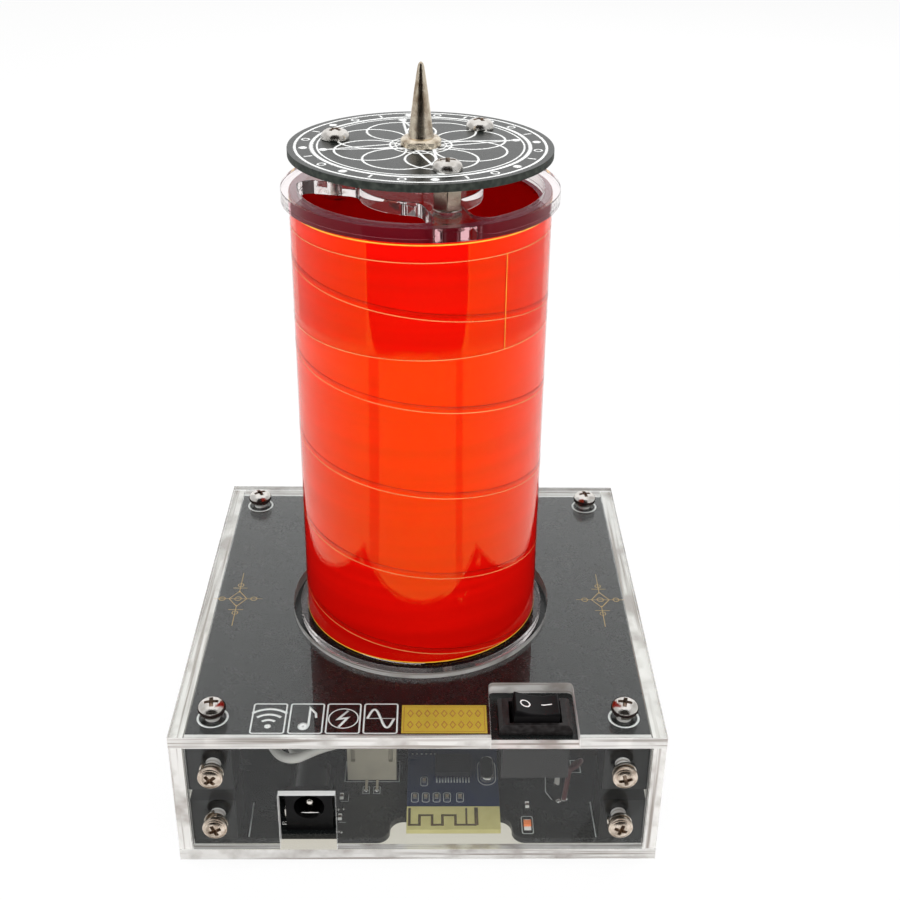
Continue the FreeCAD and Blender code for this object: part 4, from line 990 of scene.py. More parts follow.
@dataclass
class ClearCase:
    """The clear plates, the flanges and the coil tube. The winding's red light is painted on: a pink tint on
    the flanges' faces, maroon on the top flange's front rim, its lit wall and the tube's end.
    """

    gap: float = 0.03
    edge_limit: float = 0.8
    rim_from: float = 28.0
    rim_facing: float = -0.45
    lit_front: float = -9.0
    lit_facing: float = 0.35
    sheets: dict[str, int] = field(default_factory=lambda: {
        "bottom_plate": 2, "top_plate": 2, "front_plate": 1, "back_plate": 1, "left_side_plate": 0,
        "right_side_plate": 0, "bottom_flange": 2, "top_flange": 2,
    })
    openings: dict[str, tuple[float, float, float, float]] = field(default_factory=lambda: {
        "top_plate": (14.5, 35.5, -37.0, 40.0), "front_plate": (-31.3, -17.6, 0.0, 20.6),
    })

    def build(self) -> None:
        """Make every clear piece with polished faces and pale cut edges."""
        edges = (Tone.SIDE_EDGE, Tone.FRONT_EDGE, Tone.LEVEL_EDGE)
        for node, axis in self.sheets.items():
            is_round = "flange" in node
            piece = dress(node, Tone.FLANGE_FACE if is_round else Tone.ACRYLIC, 0.2, self.gap)
            self.colour_cut(piece, axis, Tone.FLANGE_EDGE if is_round else edges[axis], lambda *_: True)
            if node == "top_flange":
                # Painted red light on the top flange's front rim and on the front wall of its opening.
                self.colour_cut(piece, axis, Tone.FLANGE_FRONT, self.on_front_rim)
                self.colour_cut(piece, axis, Tone.FLANGE_WALL, self.on_lit_wall)
            if node in self.openings:
                left, right, front, top = self.openings[node]
                self.colour_cut(
                    piece, axis, Tone.NOTCH_EDGE,
                    lambda middle, _: left < middle.x < right and middle.y < front and middle.z < top,
                )
        tube = dress("coil_tube", Tone.ACRYLIC, 0.1, self.gap)
        colour_faces(tube, Tone.TUBE_END, lambda _, normal: abs(normal.z) > self.edge_limit)
        dress("rubber_feet", Tone.FOOT, 0.4, segments=3)

    def colour_cut(self, piece: Piece, axis: int, tone: Tone, test: FaceTest) -> None:
        """Give a finish to a sheet's cut faces that pass a test."""
        colour_faces(
            piece, tone,
            lambda middle, normal: abs(normal[axis]) < self.edge_limit and test(middle, normal),
        )

    def on_front_rim(self, middle: Vector, normal: Vector) -> bool:
        """Tell whether a face is on the front of a flange's rim."""
        return normal.y < self.rim_facing and math.hypot(middle.x, middle.y) > self.rim_from

    def on_lit_wall(self, middle: Vector, normal: Vector) -> bool:
        """Tell whether a face is on the front wall of a flange's opening."""
        return normal.y > self.lit_facing and middle.y < self.lit_front


@dataclass
class Column:
    """The winding, the clear film wound over it and the glue line at each end."""

    inner: float = 27.53
    outer: float = 27.75
    low: float = 36.9
    high: float = 137.8
    film_low: float = 36.7
    film_high: float = 137.4
    film_pitch: float = 20.5
    film_overlap: float = 1.5
    film_edge: float = 0.2
    film: float = 0.012
    film_radius: float = 27.79
    film_front_edge: float = 60.0
    front: float = -90.0
    band_radius: float = 27.86
    band_low: float = 112.5
    band_high: float = 133.5
    band_start: float = -51.5
    steps: int = 288
    glue_height: float = 0.27

    def build(self) -> None:
        """Make the winding and its film."""
        winding = Bench.swept(
            "wire_winding",
            [
                (self.inner, self.low), (self.outer, self.low), (self.outer, self.high),
                (self.inner, self.high),
            ],
            0, 360, steps=self.steps,
        )
        Bench.soften(winding, 0.04)
        enter(winding, Tone.RED_WINDING, ["secondary_winding"])
        middle = (self.inner + self.outer) / 2
        colour_faces(winding, Tone.WINDING_INSIDE, lambda place, _: math.hypot(place.x, place.y) < middle)
        film = Bench.join("film_wrap", [*self.make_helix(), *self.make_band(), *self.make_glue_lines()])
        enter(film, None, ["tape_wrap"])

    def make_glue_lines(self) -> list[Piece]:
        """Make the thin amber line of glue at each end of the winding."""
        return [
            self.strip(
                name, (level, level + self.glue_height), self.film_radius + 0.03, Tone.GLUE, 360,
                steps=self.steps,
            )
            for name, level in (("glue_low", self.low - 0.15), ("glue_high", self.film_high - 0.5))
        ]

    def strip(
        self, name: str, levels: Flat, radius: float, tone: Tone, turn: float, rise: float = 0.0,
        steps: int = 200,
    ) -> Piece:
        """Make a thin strip of film round the column.

        Args:
            name: Name of the new object.
            levels: Height of its lower and of its upper edge.
            radius: Its inner radius.
            tone: Its finish.
            turn: How far it goes, in degrees.
            rise: How far it climbs.
            steps: Number of sections.

        Returns:
            The strip.
        """
        low, high = levels
        corners = [(radius, low), (radius, high), (radius + self.film, high), (radius + self.film, low)]
        piece = Bench.swept(name, corners, self.band_start if not rise else self.front, turn, rise, steps)
        piece.data.materials.append(tone.material())
        Bench.hold(piece)
        bpy.ops.object.shade_smooth_by_angle(angle=SMOOTH_ANGLE)
        return piece

    def make_helix(self) -> list[Piece]:
        """Make the film's main run, which drops to the right across the front, strip beside strip."""
        turns = 8
        start = self.film_front_edge + self.film_pitch * (turns - 3)
        edge, over = self.film_edge, self.film_overlap
        # Strips side by side: a painted highlight along the lower edge, painted shade along the edge hidden
        # under the next turn.
        rows = (
            ("film_lower_edge", (0.0, edge), Tone.FILM_EDGE),
            ("film_under_overlap", (edge, over * 0.6), Tone.FILM_FACE),
            ("film_overlap", (over * 0.6, over), Tone.FILM_OVERLAP),
            ("film_hidden_edge", (over, over + 0.12), Tone.FILM_SHADE),
            ("film_face", (over + 0.12, self.film_pitch), Tone.FILM_FACE),
        )
        pieces = []
        for name, levels, tone in rows:
            piece = self.strip(
                name, levels, self.film_radius, tone, 360 * turns, -self.film_pitch * turns, self.steps * 5
            )
            Bench.move(piece, (0, 0, start))
            Bench.trim(piece, self.film_high, True)
            pieces.append(Bench.trim(piece, self.film_low, False))
        return pieces

    def make_band(self) -> list[Piece]:
        """Make the one level turn of film near the top, with its upright end to the right of the front."""
        low, high, edge = self.band_low, self.band_high, self.film_edge
        # Painted highlights along both edges of the band and on its upright end.
        rows = (
            ("band_lower_edge", (low, low + edge), self.band_radius, Tone.FILM_EDGE, 360),
            ("band_face", (low + edge, high - edge), self.band_radius, Tone.BAND_FACE, 360),
            ("band_upper_edge", (high - edge, high), self.band_radius, Tone.FILM_EDGE, 360),
            ("band_end", (low, high), self.band_radius, Tone.BAND_END, 0.5),
        )
        return [self.strip(*row, steps=self.steps if row[4] > 1 else 2) for row in rows]


@dataclass
class Studio:
    """The floor, the sky, the lamps, the camera and what polished surfaces mirror.

    Only polished surfaces see the dark card in front, the grey cards beside it, the dim strips on the floor
    and the dark mat over the panel. The mat and the strips are in millimetres and the rest in metres.
    """

    eye: Point = (0.002958, -0.272421, 0.224478)
    yaw: float = 0.024
    pitch: float = 0.489
    roll: float = 0.016
    lens: float = 53.167
    shift: Flat = (-0.01327, -0.00982)
    card_radius: float = 0.276
    card_limits: Flat = (-45.0, 40.5)
    side_cards: tuple[Flat, ...] = ((-135.0, -46.0), (41.5, 135.0))
    shade_strips: tuple[Flat, ...] = ((-44.5, -35.5), (30.5, 36.5))
    mat_half: float = 50.6
    mat_hole: float = 30.5
    mat_level: float = 36.9
    strip_near: float = 68.0
    floor_radius: float = 6.0
    floor_share: float = 0.91
    # Painted shadow: inner and outer radius, in metres, of the shadow painted on the floor under the case.
    painted_shadow_reach: Flat = (0.062, 0.078)
    aim: Point = (0, 0, 0.06)
    lamps: tuple[tuple[str, Point, float, float], ...] = (
        ("lamp_left", (-0.60, -0.55, 0.70), 0.55, 4.6),
        ("lamp_right", (0.70, -0.45, 0.60), 0.55, 4.1),
        ("lamp_front", (0.0, -0.95, 0.28), 0.60, 1.9),
        ("lamp_top", (0.0, 0.15, 0.95), 0.70, 4.0),
        ("lamp_back", (0.15, 0.75, 0.55), 0.60, 3.0),
    )

    def build(self) -> None:
        """Set up everything that isn't the object."""
        scene = bpy.context.scene
        scene.view_settings.view_transform = "Standard"
        self.make_sky(scene)
        self.make_floor()
        self.make_card()
        self.make_glowing_pieces()
        self.make_mat()
        for name, place, size, power in self.lamps:
            self.make_lamp(name, place, size, power)
        self.make_camera(scene)

    @staticmethod
    def background_ray(tree: Tree) -> Socket:
        """Return 1 for rays that see the background: camera, glossy and transmission rays."""
        path = add(tree, "LightPath").outputs
        seen = maths(tree, "MAXIMUM", path["Is Camera Ray"], path["Is Glossy Ray"])
        return maths(tree, "MAXIMUM", seen, path["Is Transmission Ray"])

    def make_sky(self, scene: bpy.types.Scene) -> None:
        """Make an even sky, white where it is seen and dimmer as a light."""
        world = bpy.data.worlds.new("soft_sky")
        world.use_nodes = True
        tree = world.node_tree
        tree.nodes.clear()
        seen = self.background_ray(tree)
        strength = add(tree, "MapRange", {"Value": seen, "To Min": 0.55, "To Max": 1.0}).outputs[0]
        sky = add(tree, "Background", {"Color": (1, 1, 1, 1), "Strength": strength})
        tree.links.new(sky.outputs[0], add(tree, "OutputWorld").inputs[0])
        scene.world = world

    def make_floor(self) -> None:
        """Make the pale floor, which is white where it is seen, keeps a soft shadow and has a painted shadow
        under the case where it is seen through the clear sheets.
        """
        bpy.ops.object.select_all(action="DESELECT")
        bpy.ops.mesh.primitive_circle_add(
            vertices=96, radius=self.floor_radius, fill_type="NGON", location=(0, 0, -0.0001)
        )
        floor = bpy.context.object
        floor.name = "floor"
        Bench.settle(floor)
        material, tree, out = blank("pale_floor")
        paint = mottled(tree, 8.0, (0.86, 0.86, 0.86), (0.88, 0.88, 0.88))
        plain = add(tree, "BsdfDiffuse", {"Color": paint})
        # Painted shadow: seen through the clear sheets, the floor under the case glows a dim warm grey and
        # not white.
        passed = add(tree, "LightPath").outputs["Is Transmission Ray"]
        reach = add(tree, "VectorMath", {0: object_place(tree)}, operation="LENGTH").outputs["Value"]
        inside = maths(tree, "SUBTRACT", 1.0, ramp(tree, reach, *self.painted_shadow_reach))
        under = maths(tree, "MULTIPLY", passed, inside)
        seen = mixed(tree, under, (1, 1, 1, 1), (0.66, 0.62, 0.54, 1))
        glow = add(tree, "Emission", {"Color": seen, "Strength": 1.0})
        share = maths(tree, "MULTIPLY", self.background_ray(tree), self.floor_share)
        tree.links.new(blended(tree, share, plain, glow).outputs[0], out.inputs[0])
        floor.data.materials.append(material)

    def make_card(self) -> None:
        """Make the dark curved card that only polished surfaces see."""
        bpy.ops.object.select_all(action="DESELECT")
        bpy.ops.mesh.primitive_cylinder_add(
            vertices=144, radius=self.card_radius, depth=0.8, end_fill_type="NOTHING", location=(0, 0, 0.401)
        )
        card = bpy.context.object
        card.name = "dark_card"
        Bench.settle(card)
        left, right = (math.radians(angle) for angle in self.card_limits)

        def beyond(middle: Vector, _: Vector) -> bool:
            """Tell whether a face lies outside the card's width."""
            return not left < math.atan2(middle.x, -middle.y) < right

        Bench.pick(card, beyond)
        bpy.ops.mesh.delete(type="FACE")
        Bench.close()
        for vertex in card.data.vertices:
            if vertex.co.z < 0.1:
                angle = math.atan2(vertex.co.x, -vertex.co.y)
                out = angle / (right if angle > 0 else left)
                vertex.co.z += 0.022 * max(0.0, (out - 0.82) / 0.18) ** 2
        material, tree, out_node = blank("dark_card")
        shade = mottled(tree, 6.0, (0.010, 0.009, 0.008), (0.025, 0.022, 0.020))
        tree.links.new(add(tree, "BsdfDiffuse", {"Color": shade}).outputs[0], out_node.inputs[0])
        self.show_to_gloss_alone(card, material)

    @staticmethod
    def glowing(name: str, scale: float, first: Colour, second: Colour) -> Material:
        """Make a material that glows in a grey between two."""
        material, tree, out = blank(name)
        glow = add(tree, "Emission", {"Color": mottled(tree, scale, first, second), "Strength": 1.0})
        tree.links.new(glow.outputs[0], out.inputs[0])
        return material

    def make_glowing_pieces(self) -> None:
        """Make the grey cards beside the object and the dim strips on the floor that the winding mirrors."""
        far, near = self.card_radius / MM, self.strip_near
        grey = self.glowing("grey_card", 5.0, (0.58, 0.58, 0.58), (0.66, 0.66, 0.66))
        dim = self.glowing("dim_strip", 30.0, (0.50, 0.49, 0.47), (0.62, 0.61, 0.59))
        upright = [(far, 3.0), (far, 400.0), (far + 1, 400.0), (far + 1, 3.0)]
        level = [(near, 0.2), (far, 0.2), (far, 0.3), (near, 0.3)]
        for name, material, corners, places, steps in (
            ("grey_card", grey, upright, self.side_cards, 24),
            ("floor_strip", dim, level, self.shade_strips, 12),
        ):
            for number, (start, stop) in enumerate(places):
                piece = Bench.swept(f"{name}_{number}", corners, start - 90, stop - start, 0.0, steps)
                self.show_to_gloss_alone(piece, material)

    def make_mat(self) -> None:
        """Make the dark mat over the panel that the winding mirrors; it can't be seen from below."""
        half, hole, level = self.mat_half, self.mat_hole, self.mat_level
        mat = Bench.box("dark_mat", (-half, -half, level), (half, half, level + 0.02))
        Bench.subtract(mat, Bench.turned("mat_hole", [(hole, level - 1), (hole, level + 1)], steps=96))
        Bench.pick(mat, lambda _, normal: normal.z < 0.5)
        bpy.ops.mesh.delete(type="FACE")
        Bench.close()
        material, tree, out = blank("dark_mat")
        shade = mottled(tree, 40.0, (0.004, 0.004, 0.004), (0.02, 0.012, 0.012))
        dark = add(tree, "BsdfDiffuse", {"Color": shade})
        passing = add(tree, "BsdfTransparent", {"Color": (1, 1, 1, 1)})
        below = add(tree, "NewGeometry").outputs["Backfacing"]
        tree.links.new(blended(tree, below, dark, passing).outputs[0], out.inputs[0])
        self.show_to_gloss_alone(mat, material)

    @staticmethod
    def show_to_gloss_alone(piece: Piece, material: Material) -> None:
        """Give a stage piece its material and let only polished surfaces see it."""
        piece.data.materials.append(material)
        for seen_by in ("camera", "diffuse", "transmission", "shadow", "volume_scatter"):
            setattr(piece, f"visible_{seen_by}", False)

    def make_lamp(self, name: str, place: Point, size: float, power: float) -> None:
        """Make a soft square lamp that faces the object and isn't seen in polished or clear surfaces."""
        data = bpy.data.lights.new(name, "AREA")
        data.size = size
        data.energy = power
        lamp = bpy.data.objects.new(name, data)
        lamp.location = place
        towards = Vector(self.aim) - Vector(place)
        lamp.rotation_euler = towards.to_track_quat("-Z", "Y").to_euler()
        lamp.visible_glossy = False
        lamp.visible_transmission = False
        bpy.context.scene.collection.objects.link(lamp)

    def make_camera(self, scene: bpy.types.Scene) -> None:
        """Make the camera, which looks down at the front of the case."""
        ahead = Vector((
            math.sin(self.yaw) * math.cos(self.pitch), math.cos(self.yaw) * math.cos(self.pitch),
            -math.sin(self.pitch),
        ))
        right = Vector((math.cos(self.yaw), -math.sin(self.yaw), 0))
        up = right.cross(ahead)
        cos, sin = math.cos(self.roll), math.sin(self.roll)
        right, up = cos * right + sin * up, cos * up - sin * right
        turn = Matrix((right, up, -ahead)).transposed()
        data = bpy.data.cameras.new("camera")
        data.lens, data.sensor_width = self.lens, 36.0
        data.shift_x, data.shift_y = self.shift
        data.clip_start = 0.01
        camera = bpy.data.objects.new("camera", data)
        camera.matrix_world = Matrix.Translation(self.eye) @ turn.to_4x4()
        scene.collection.objects.link(camera)
        scene.camera = camera


@dataclass
class Inner:
    """The boards and the parts inside the case, by the finish that each one wears."""

    softened: dict[str, tuple[Tone, float]] = field(default_factory=lambda: {
        "lower_corner_blocks": (Tone.NYLON, 0.25), "upper_corner_blocks": (Tone.NYLON, 0.25),
        "main_board": (Tone.BOARD, 0.05), "top_board": (Tone.BOARD, 0.05),
        "dc_jack": (Tone.GLOSS_BLACK, 0.15), "dc_jack_pin": (Tone.CONTACT, 0.05),
        "dc_jack_contacts": (Tone.CONTACT, 0.05), "switch_housing": (Tone.HOUSING, 0.12),
        "switch_terminals": (Tone.CONTACT, 0.05), "module_chip": (Tone.CHIP, 0.1),
        "module_crystal": (Tone.CRYSTAL, 0.5),
        "connector_header": (Tone.CREAM, 0.1), "connector_pins": (Tone.CONTACT, 0.05),
        "connector_plug": (Tone.CREAM, 0.1), "heat_sink": (Tone.ALUMINIUM, 0.1),
        "power_transistors": (Tone.CHIP, 0.1), "smoothing_capacitors": (Tone.SLEEVE, 0.15),
        "film_capacitor": (Tone.FILM_CASE, 0.4), "driver_chips": (Tone.CHIP, 0.05),
        "standoffs": (Tone.POST, 0.2), "standoff_washers": (Tone.NICKEL, 0.1),
        "bottom_flange_nuts": (Tone.NICKEL, 0.15), "primary_former": (Tone.FORMER, 0.1),
        "bottom_screws": (Tone.NICKEL, 0.08), "transistor_screws": (Tone.NICKEL, 0.1),
    })
    plain: dict[str, Tone] = field(default_factory=lambda: {
        "primary_coil": Tone.WHITE_WIRE, "primary_lead_low": Tone.WHITE_WIRE,
        "primary_lead_high": Tone.WHITE_WIRE, "switch_lead_white": Tone.WHITE_WIRE,
        "switch_lead_red": Tone.RED_WIRE, "ground_lead": Tone.COPPER, "top_lead": Tone.COPPER,
    })

    def build(self) -> None:
        """Dress every inner part."""
        for node, (tone, width) in self.softened.items():
            dress(node, tone, width)
        for node, tone in self.plain.items():
            recolour(node, tone)


@dataclass
class Fasteners:
    """The pan-head screws and the spring washers, each kind modelled once and copied."""

    head: tuple[Flat, ...] = (
        (2.9, 0.0), (3.0, 0.12), (3.0, 0.6), (2.93, 0.95), (2.72, 1.32), (2.36, 1.66), (1.86, 1.93),
        (1.2, 2.1), (0.05, 2.18),
    )
    wall_head: tuple[Flat, ...] = (
        (2.66, 0.0), (2.75, 0.1), (2.75, 0.62), (2.68, 0.95), (2.52, 1.15), (2.36, 1.22), (2.26, 1.14),
        (2.14, 1.22), (1.9, 1.38), (1.4, 1.56), (0.8, 1.66), (0.05, 1.68),
    )
    shank_radius: float = 1.5
    root_radius: float = 1.28
    thread_pitch: float = 0.5
    recess_depth: float = 1.3
    recess_reach: float = 2.05
    recess_half_width: float = 0.55
    top_across: float = 44.8
    top_level: float = 37.3
    wall_across: float = 44.2
    wall_levels: Flat = (13.7, 28.0)
    wall_setback: float = 55.4
    post_circle: float = 18.5
    post_angles: tuple[float, ...] = (-73.0, 47.0, 167.0)
    spring: float = 0.8
    open_spring: float = 2.2
    long_shank: float = 8.0
    top_turns: tuple[float, ...] = (8, -12, 30, 12)
    spring_turns: tuple[float, ...] = (40, 150, 0, 90)
    wall_turns: tuple[float, ...] = (24, 40, -20, 14, 5, 60, 33, 80)
    others: tuple[tuple[str, float, float, str], ...] = (
        ("column_screws", 6.0, 138.0, "down"), ("disc_screws", 4.0, 149.1, "up"),
        ("bottom_flange_screws", 8.0, 31.9, "down"),
    )

    def build(self) -> None:
        """Place every screw and spring washer."""
        sides = (-self.top_across, self.top_across)
        corners = [(x, y) for y in sides for x in sides]
        tops = [placed(x, y, self.top_level, turn) for (x, y), turn in zip(corners, self.top_turns)]
        self.put("top_pan_screws", "top_screws", self.screw(self.head, self.long_shank, Tone.NICKEL), tops)
        seat = self.top_level - self.spring
        seats = [placed(x, y, seat, turn) for (x, y), turn in zip(corners, self.spring_turns)]
        self.put("top_springs", "top_spring_washers", self.spring_washer(), seats)
        walls, rings = [], []
        for number, (x, y, z) in enumerate(self.wall_places()):
            facing = "front" if y < 0 else "back"
            walls.append(placed(x, y, z, self.wall_turns[number], facing))
            rings.append(placed(x, y - math.copysign(self.open_spring, y), z, 37 * number, facing))
        wall_screw = self.screw(self.wall_head, self.long_shank, Tone.WARM_NICKEL)
        self.put("wall_pan_screws", "wall_screws", wall_screw, walls)
        self.put("wall_springs", "wall_spring_washers", self.spring_washer(0.75, 1.3), rings)
        posts = list(enumerate(self.on_posts()))
        for node, length, level, facing in self.others:
            spots = [placed(x, y, level, 25 * number, facing) for number, (x, y) in posts]
            self.put(f"pan_{node}", node, self.screw(self.head, length, Tone.NICKEL), spots)
        middle = [placed(0, 0, 147.5, 10, "down")]
        self.put("pan_spike_screw", "spike_screw", self.screw(self.head, 4.0, Tone.NICKEL), middle)

    @staticmethod
    def put(name: str, node: str, master: Piece, places: list[Matrix]) -> None:
        """Copy a master to its places and stand in for a node with the copies."""
        enter(Bench.stamp(name, master, places), None, [node])

    def wall_places(self) -> list[Point]:
        """Return the seat of each wall screw's head."""
        depths, sides = (-self.wall_setback, self.wall_setback), (-self.wall_across, self.wall_across)
        return [(x, y, z) for y in depths for x in sides for z in self.wall_levels]

    def on_posts(self) -> list[Flat]:
        """Return the places of the three posts."""
        angles = [math.radians(angle) for angle in self.post_angles]
        return [(self.post_circle * math.cos(angle), self.post_circle * math.sin(angle)) for angle in angles]

    def screw(self, head: Sequence[Flat], length: float, tone: Tone) -> Piece:
        """Model a pan-head screw whose head stands on height 0.

        Args:
            head: Radius and height of each step of its head.
            length: Length of its threaded shank.
            tone: Its finish.

        Returns:
            The screw.
        """
        level = 0.4 - length
        profile = [(self.root_radius - 0.2, -length), (self.shank_radius, level)]
        while level < -self.thread_pitch * 1.6:
            profile.append((self.root_radius, level + self.thread_pitch / 2))
            level += self.thread_pitch
            profile.append((self.shank_radius, level))
        profile += [(self.root_radius, -0.1), *head]
        screw = Bench.turned("screw", profile, steps=32)
        top = head[-1][1]
        for across, along in ((1.0, 0.0), (0.0, 1.0)):
            Bench.subtract(screw, self.recess_arm(across, along, top - self.recess_depth))
        Bench.soften(screw, 0.04, 2, 40)
        screw.data.materials.append(tone.material())

        def in_recess(middle: Vector, _: Vector) -> bool:
            """Tell whether a face lies in the cross recess."""
            return (
                top - self.recess_depth - 0.3 < middle.z < top - 0.42
                and math.hypot(middle.x, middle.y) < self.recess_reach - 0.2
            )

        colour_faces(screw, Tone.RECESS, in_recess)
        return screw

    def recess_arm(self, across: float, along: float, floor: float) -> Piece:
        """Model one tapered bar of the cross that is cut from a head down to a floor."""
        half_x = self.recess_reach * across + self.recess_half_width * along
        half_y = self.recess_reach * along + self.recess_half_width * across
        arm = Bench.box("recess_arm", (-half_x, -half_y, floor), (half_x, half_y, 3.0))
        Bench.pick(arm, lambda _, normal: normal.z < -0.5)
        bpy.ops.transform.resize(value=(0.5, 0.5, 1))
        Bench.close()
        return arm

    @staticmethod
    def spring_washer(thickness: float = 0.55, rise: float = 0.24) -> Piece:
        """Model a split spring washer that lies on height 0 and climbs over its one turn."""
        corners = [(1.62, 0.0), (2.7, 0.0), (2.7, thickness), (1.62, thickness)]
        washer = Bench.swept("spring_washer", corners, 97, 344, rise, 48)
        Bench.soften(washer, 0.06)
        washer.data.materials.append(Tone.SPRING.material())
        return washer


@dataclass
class TopLoad:
    """The round board with its print, and the spike."""

    level: float = 149.1
    radius: float = 27.7
    spike: tuple[Flat, ...] = (
        (4.1, 0.0), (4.25, 0.12), (4.25, 1.15), (4.1, 1.4), (3.7, 1.72), (3.3, 1.8), (2.78, 1.82),
        (2.62, 2.2), (2.34, 4.2), (1.98, 7.2), (1.52, 10.6), (1.0, 14.2), (0.68, 16.1), (0.5, 16.6),
        (0.28, 16.88), (0.05, 17.0),
    )

    def build(self) -> None:
        """Make the board, its print and the spike."""
        disc = dress("topload_disc", Tone.DISC, 0.08)

        def rim(middle: Vector, normal: Vector) -> bool:
            """Tell whether a face is on the board's rim."""
            return abs(normal.z) < 0.5 and math.hypot(middle.x, middle.y) > self.radius - 1

        colour_faces(disc, Tone.BOARD_EDGE, rim)
        print_ = ink("disc_print", self.level, self.motif())
        enter(print_, Tone.WHITE_INK, slot=SLOT_OF["topload_disc"])
        spike = Bench.turned("turned_spike", self.spike, (0, 0, self.level), 64)
        Bench.soften(spike, 0)
        enter(spike, Tone.SPIKE, ["discharge_spike"])

    @staticmethod
    def motif() -> list[Stroke]:
        """Return the generic round design: rings, eight interlaced circles, needles, ticks and dots."""
        strokes = [ring(0, 0, 26.1, 0.65, 96), ring(0, 0, 22.7, 0.9, 96), ring(0, 0, 21.5, 0.45, 96)]
        for number in range(8):
            angle = math.radians(22.5 + 45 * number)
            strokes.append(ring(11.2 * math.cos(angle), 11.2 * math.sin(angle), 7.4, 0.55, 40))
        for number in range(4):
            angle = math.radians(90 * number + 12)
            side = angle + math.pi / 2
            tip = (20.4 * math.cos(angle), 20.4 * math.sin(angle))
            for sign in (-1, 1):
                foot = (sign * 2.2 * math.cos(side), sign * 2.2 * math.sin(side))
                strokes.append(Stroke((foot, tip), 0.6))
            strokes.append(dot(*tip, 1.0))
        for number in range(24):
            angle = math.radians(15 * number + 7)
            cos, sin = math.cos(angle), math.sin(angle)
            if number % 3 == 0:
                strokes.append(dot(24.4 * cos, 24.4 * sin, 0.95))
            elif number % 3 == 1:
                strokes.append(Stroke(((23.5 * cos, 23.5 * sin), (25.3 * cos, 25.3 * sin)), 0.6))
            else:
                strokes.append(ring(24.4 * cos, 24.4 * sin, 0.8, 0.4, 16))
        strokes += [ring(0, 0, 6.4, 0.5, 48), ring(0, 0, 5.3, 0.3, 48)]
        return strokes


@dataclass
class Panel:
    """The white and gold print on the top board."""

    level: float = 33.5
    icon_lefts: tuple[float, ...] = (-36.2, -28.05, -20.0, -11.9)
    icon_side: float = 7.2
    icon_front: float = -49.9
    icon_back: float = -40.2
    patch: tuple[Flat, Flat] = ((-3.75, -49.9), (14.8, -40.6))
    stars: tuple[Flat, ...] = ((-45.2, 0.0), (44.5, -0.1))
    screw_place: float = 44.8

    def build(self) -> None:
        """Lay the white print, the gold patch and the gold ornaments."""
        slot = SLOT_OF["top_board"]
        sides = (-self.screw_place, self.screw_place)
        strokes = [ring(x, y, 3.2, 0.55, 40) for x in sides for y in sides]
        drawings = (self.waves, self.note, self.bolt, self.sine)
        for left, draw in zip(self.icon_lefts, drawings):
            low, high = (left, self.icon_front), (left + self.icon_side, self.icon_back)
            strokes.append(frame_line(low, high, 0.5, 0.38))
            strokes += draw((low[0] + high[0]) / 2, (low[1] + high[1]) / 2)
        enter(ink("panel_print", self.level, strokes), Tone.WHITE_INK, slot=slot)
        low, high = self.patch
        patch = Bench.box("gold_patch", (*low, self.level - 0.02), (*high, self.level + 0.006))
        enter(Bench.soften(patch, 0.004, 1), Tone.GOLD_PATCH, slot=slot)
        enter(ink("patch_print", self.level + 0.006, self.scale()), Tone.PATCH_INK, slot=slot)
        ornaments = [stroke for x, y in self.stars for stroke in self.ornament(x, y)]
        enter(ink("gold_ornaments", self.level, ornaments), Tone.GOLD_INK, slot=slot)

    @staticmethod
    def waves(x: float, y: float) -> list[Stroke]:
        """Return a plain sign for a wireless signal: a dot under three arcs."""
        foot = y - 2.6
        arcs = [Stroke(arc(x, foot, radius, 48, 84, 10), 0.7) for radius in (2.1, 3.9, 5.7)]
        return [dot(x, foot, 0.75), *arcs]

    @staticmethod
    def note(x: float, y: float) -> list[Stroke]:
        """Return a plain quaver."""
        stem = Stroke(((x + 0.6, y - 2.4), (x + 0.6, y + 3.4), (x + 1.9, y + 1.7), (x + 2.1, y + 0.2)), 0.55)
        return [dot(x - 0.5, y - 2.6, 1.25), stem]

    @staticmethod
    def bolt(x: float, y: float) -> list[Stroke]:
        """Return a plain lightning flash in a ring."""
        flash = ((x + 0.9, y + 2.6), (x - 1.1, y - 0.2), (x + 0.9, y + 0.2), (x - 0.9, y - 2.8))
        return [Stroke(flash, 0.6), ring(x, y, 3.2, 0.3, 32)]

    @staticmethod
    def sine(x: float, y: float) -> list[Stroke]:
        """Return one period of a sine curve on its axis."""
        curve = tuple((x - 2.9 + 5.8 * t / 24, y + 3.0 * math.sin(2 * math.pi * t / 24)) for t in range(25))
        return [Stroke(curve, 0.6), Stroke(((x - 3.1, y), (x + 3.1, y)), 0.2)]

    def scale(self) -> list[Stroke]:
        """Return two rows of small diamonds inside a fine border for the gold patch."""
        (left, front), (right, back) = self.patch
        strokes = [frame_line((left + 0.5, front + 0.6), (right - 0.5, back - 0.6), 0.0, 0.14)]
        count = 9
        for row in (0.3, 0.7):
            y = front + (back - front) * row
            for number in range(count):
                x = left + 1.9 + (right - left - 3.8) * number / (count - 1)
                diamond = ((x - 0.6, y), (x, y + 1.1), (x + 0.6, y), (x, y - 1.1))
                strokes.append(Stroke(diamond, 0.22, True))
        return strokes

    @staticmethod
    def ornament(x: float, y: float) -> list[Stroke]:
        """Return a fine compass cross: two axes, a diamond, rings and end bars."""
        strokes = [
            Stroke(((x, y - 11.3), (x, y - 2.6)), 0.18), Stroke(((x, y + 2.6), (x, y + 11.3)), 0.18),
            Stroke(((x - 6.0, y), (x + 6.0, y)), 0.16),
            Stroke(((x - 2.2, y), (x, y + 3.2), (x + 2.2, y), (x, y - 3.2)), 0.22, True),
            ring(x, y, 0.8, 0.2, 16),
        ]
        for sign in (-1, 1):
            strokes.append(ring(x + sign * 3.9, y, 0.75, 0.2, 14))
            strokes.append(Stroke(((x - 1.8, y + sign * 4.6), (x + 1.8, y + sign * 4.6)), 0.2))
            strokes.append(ring(x, y + sign * 5.9, 0.7, 0.18, 14))
        return strokes


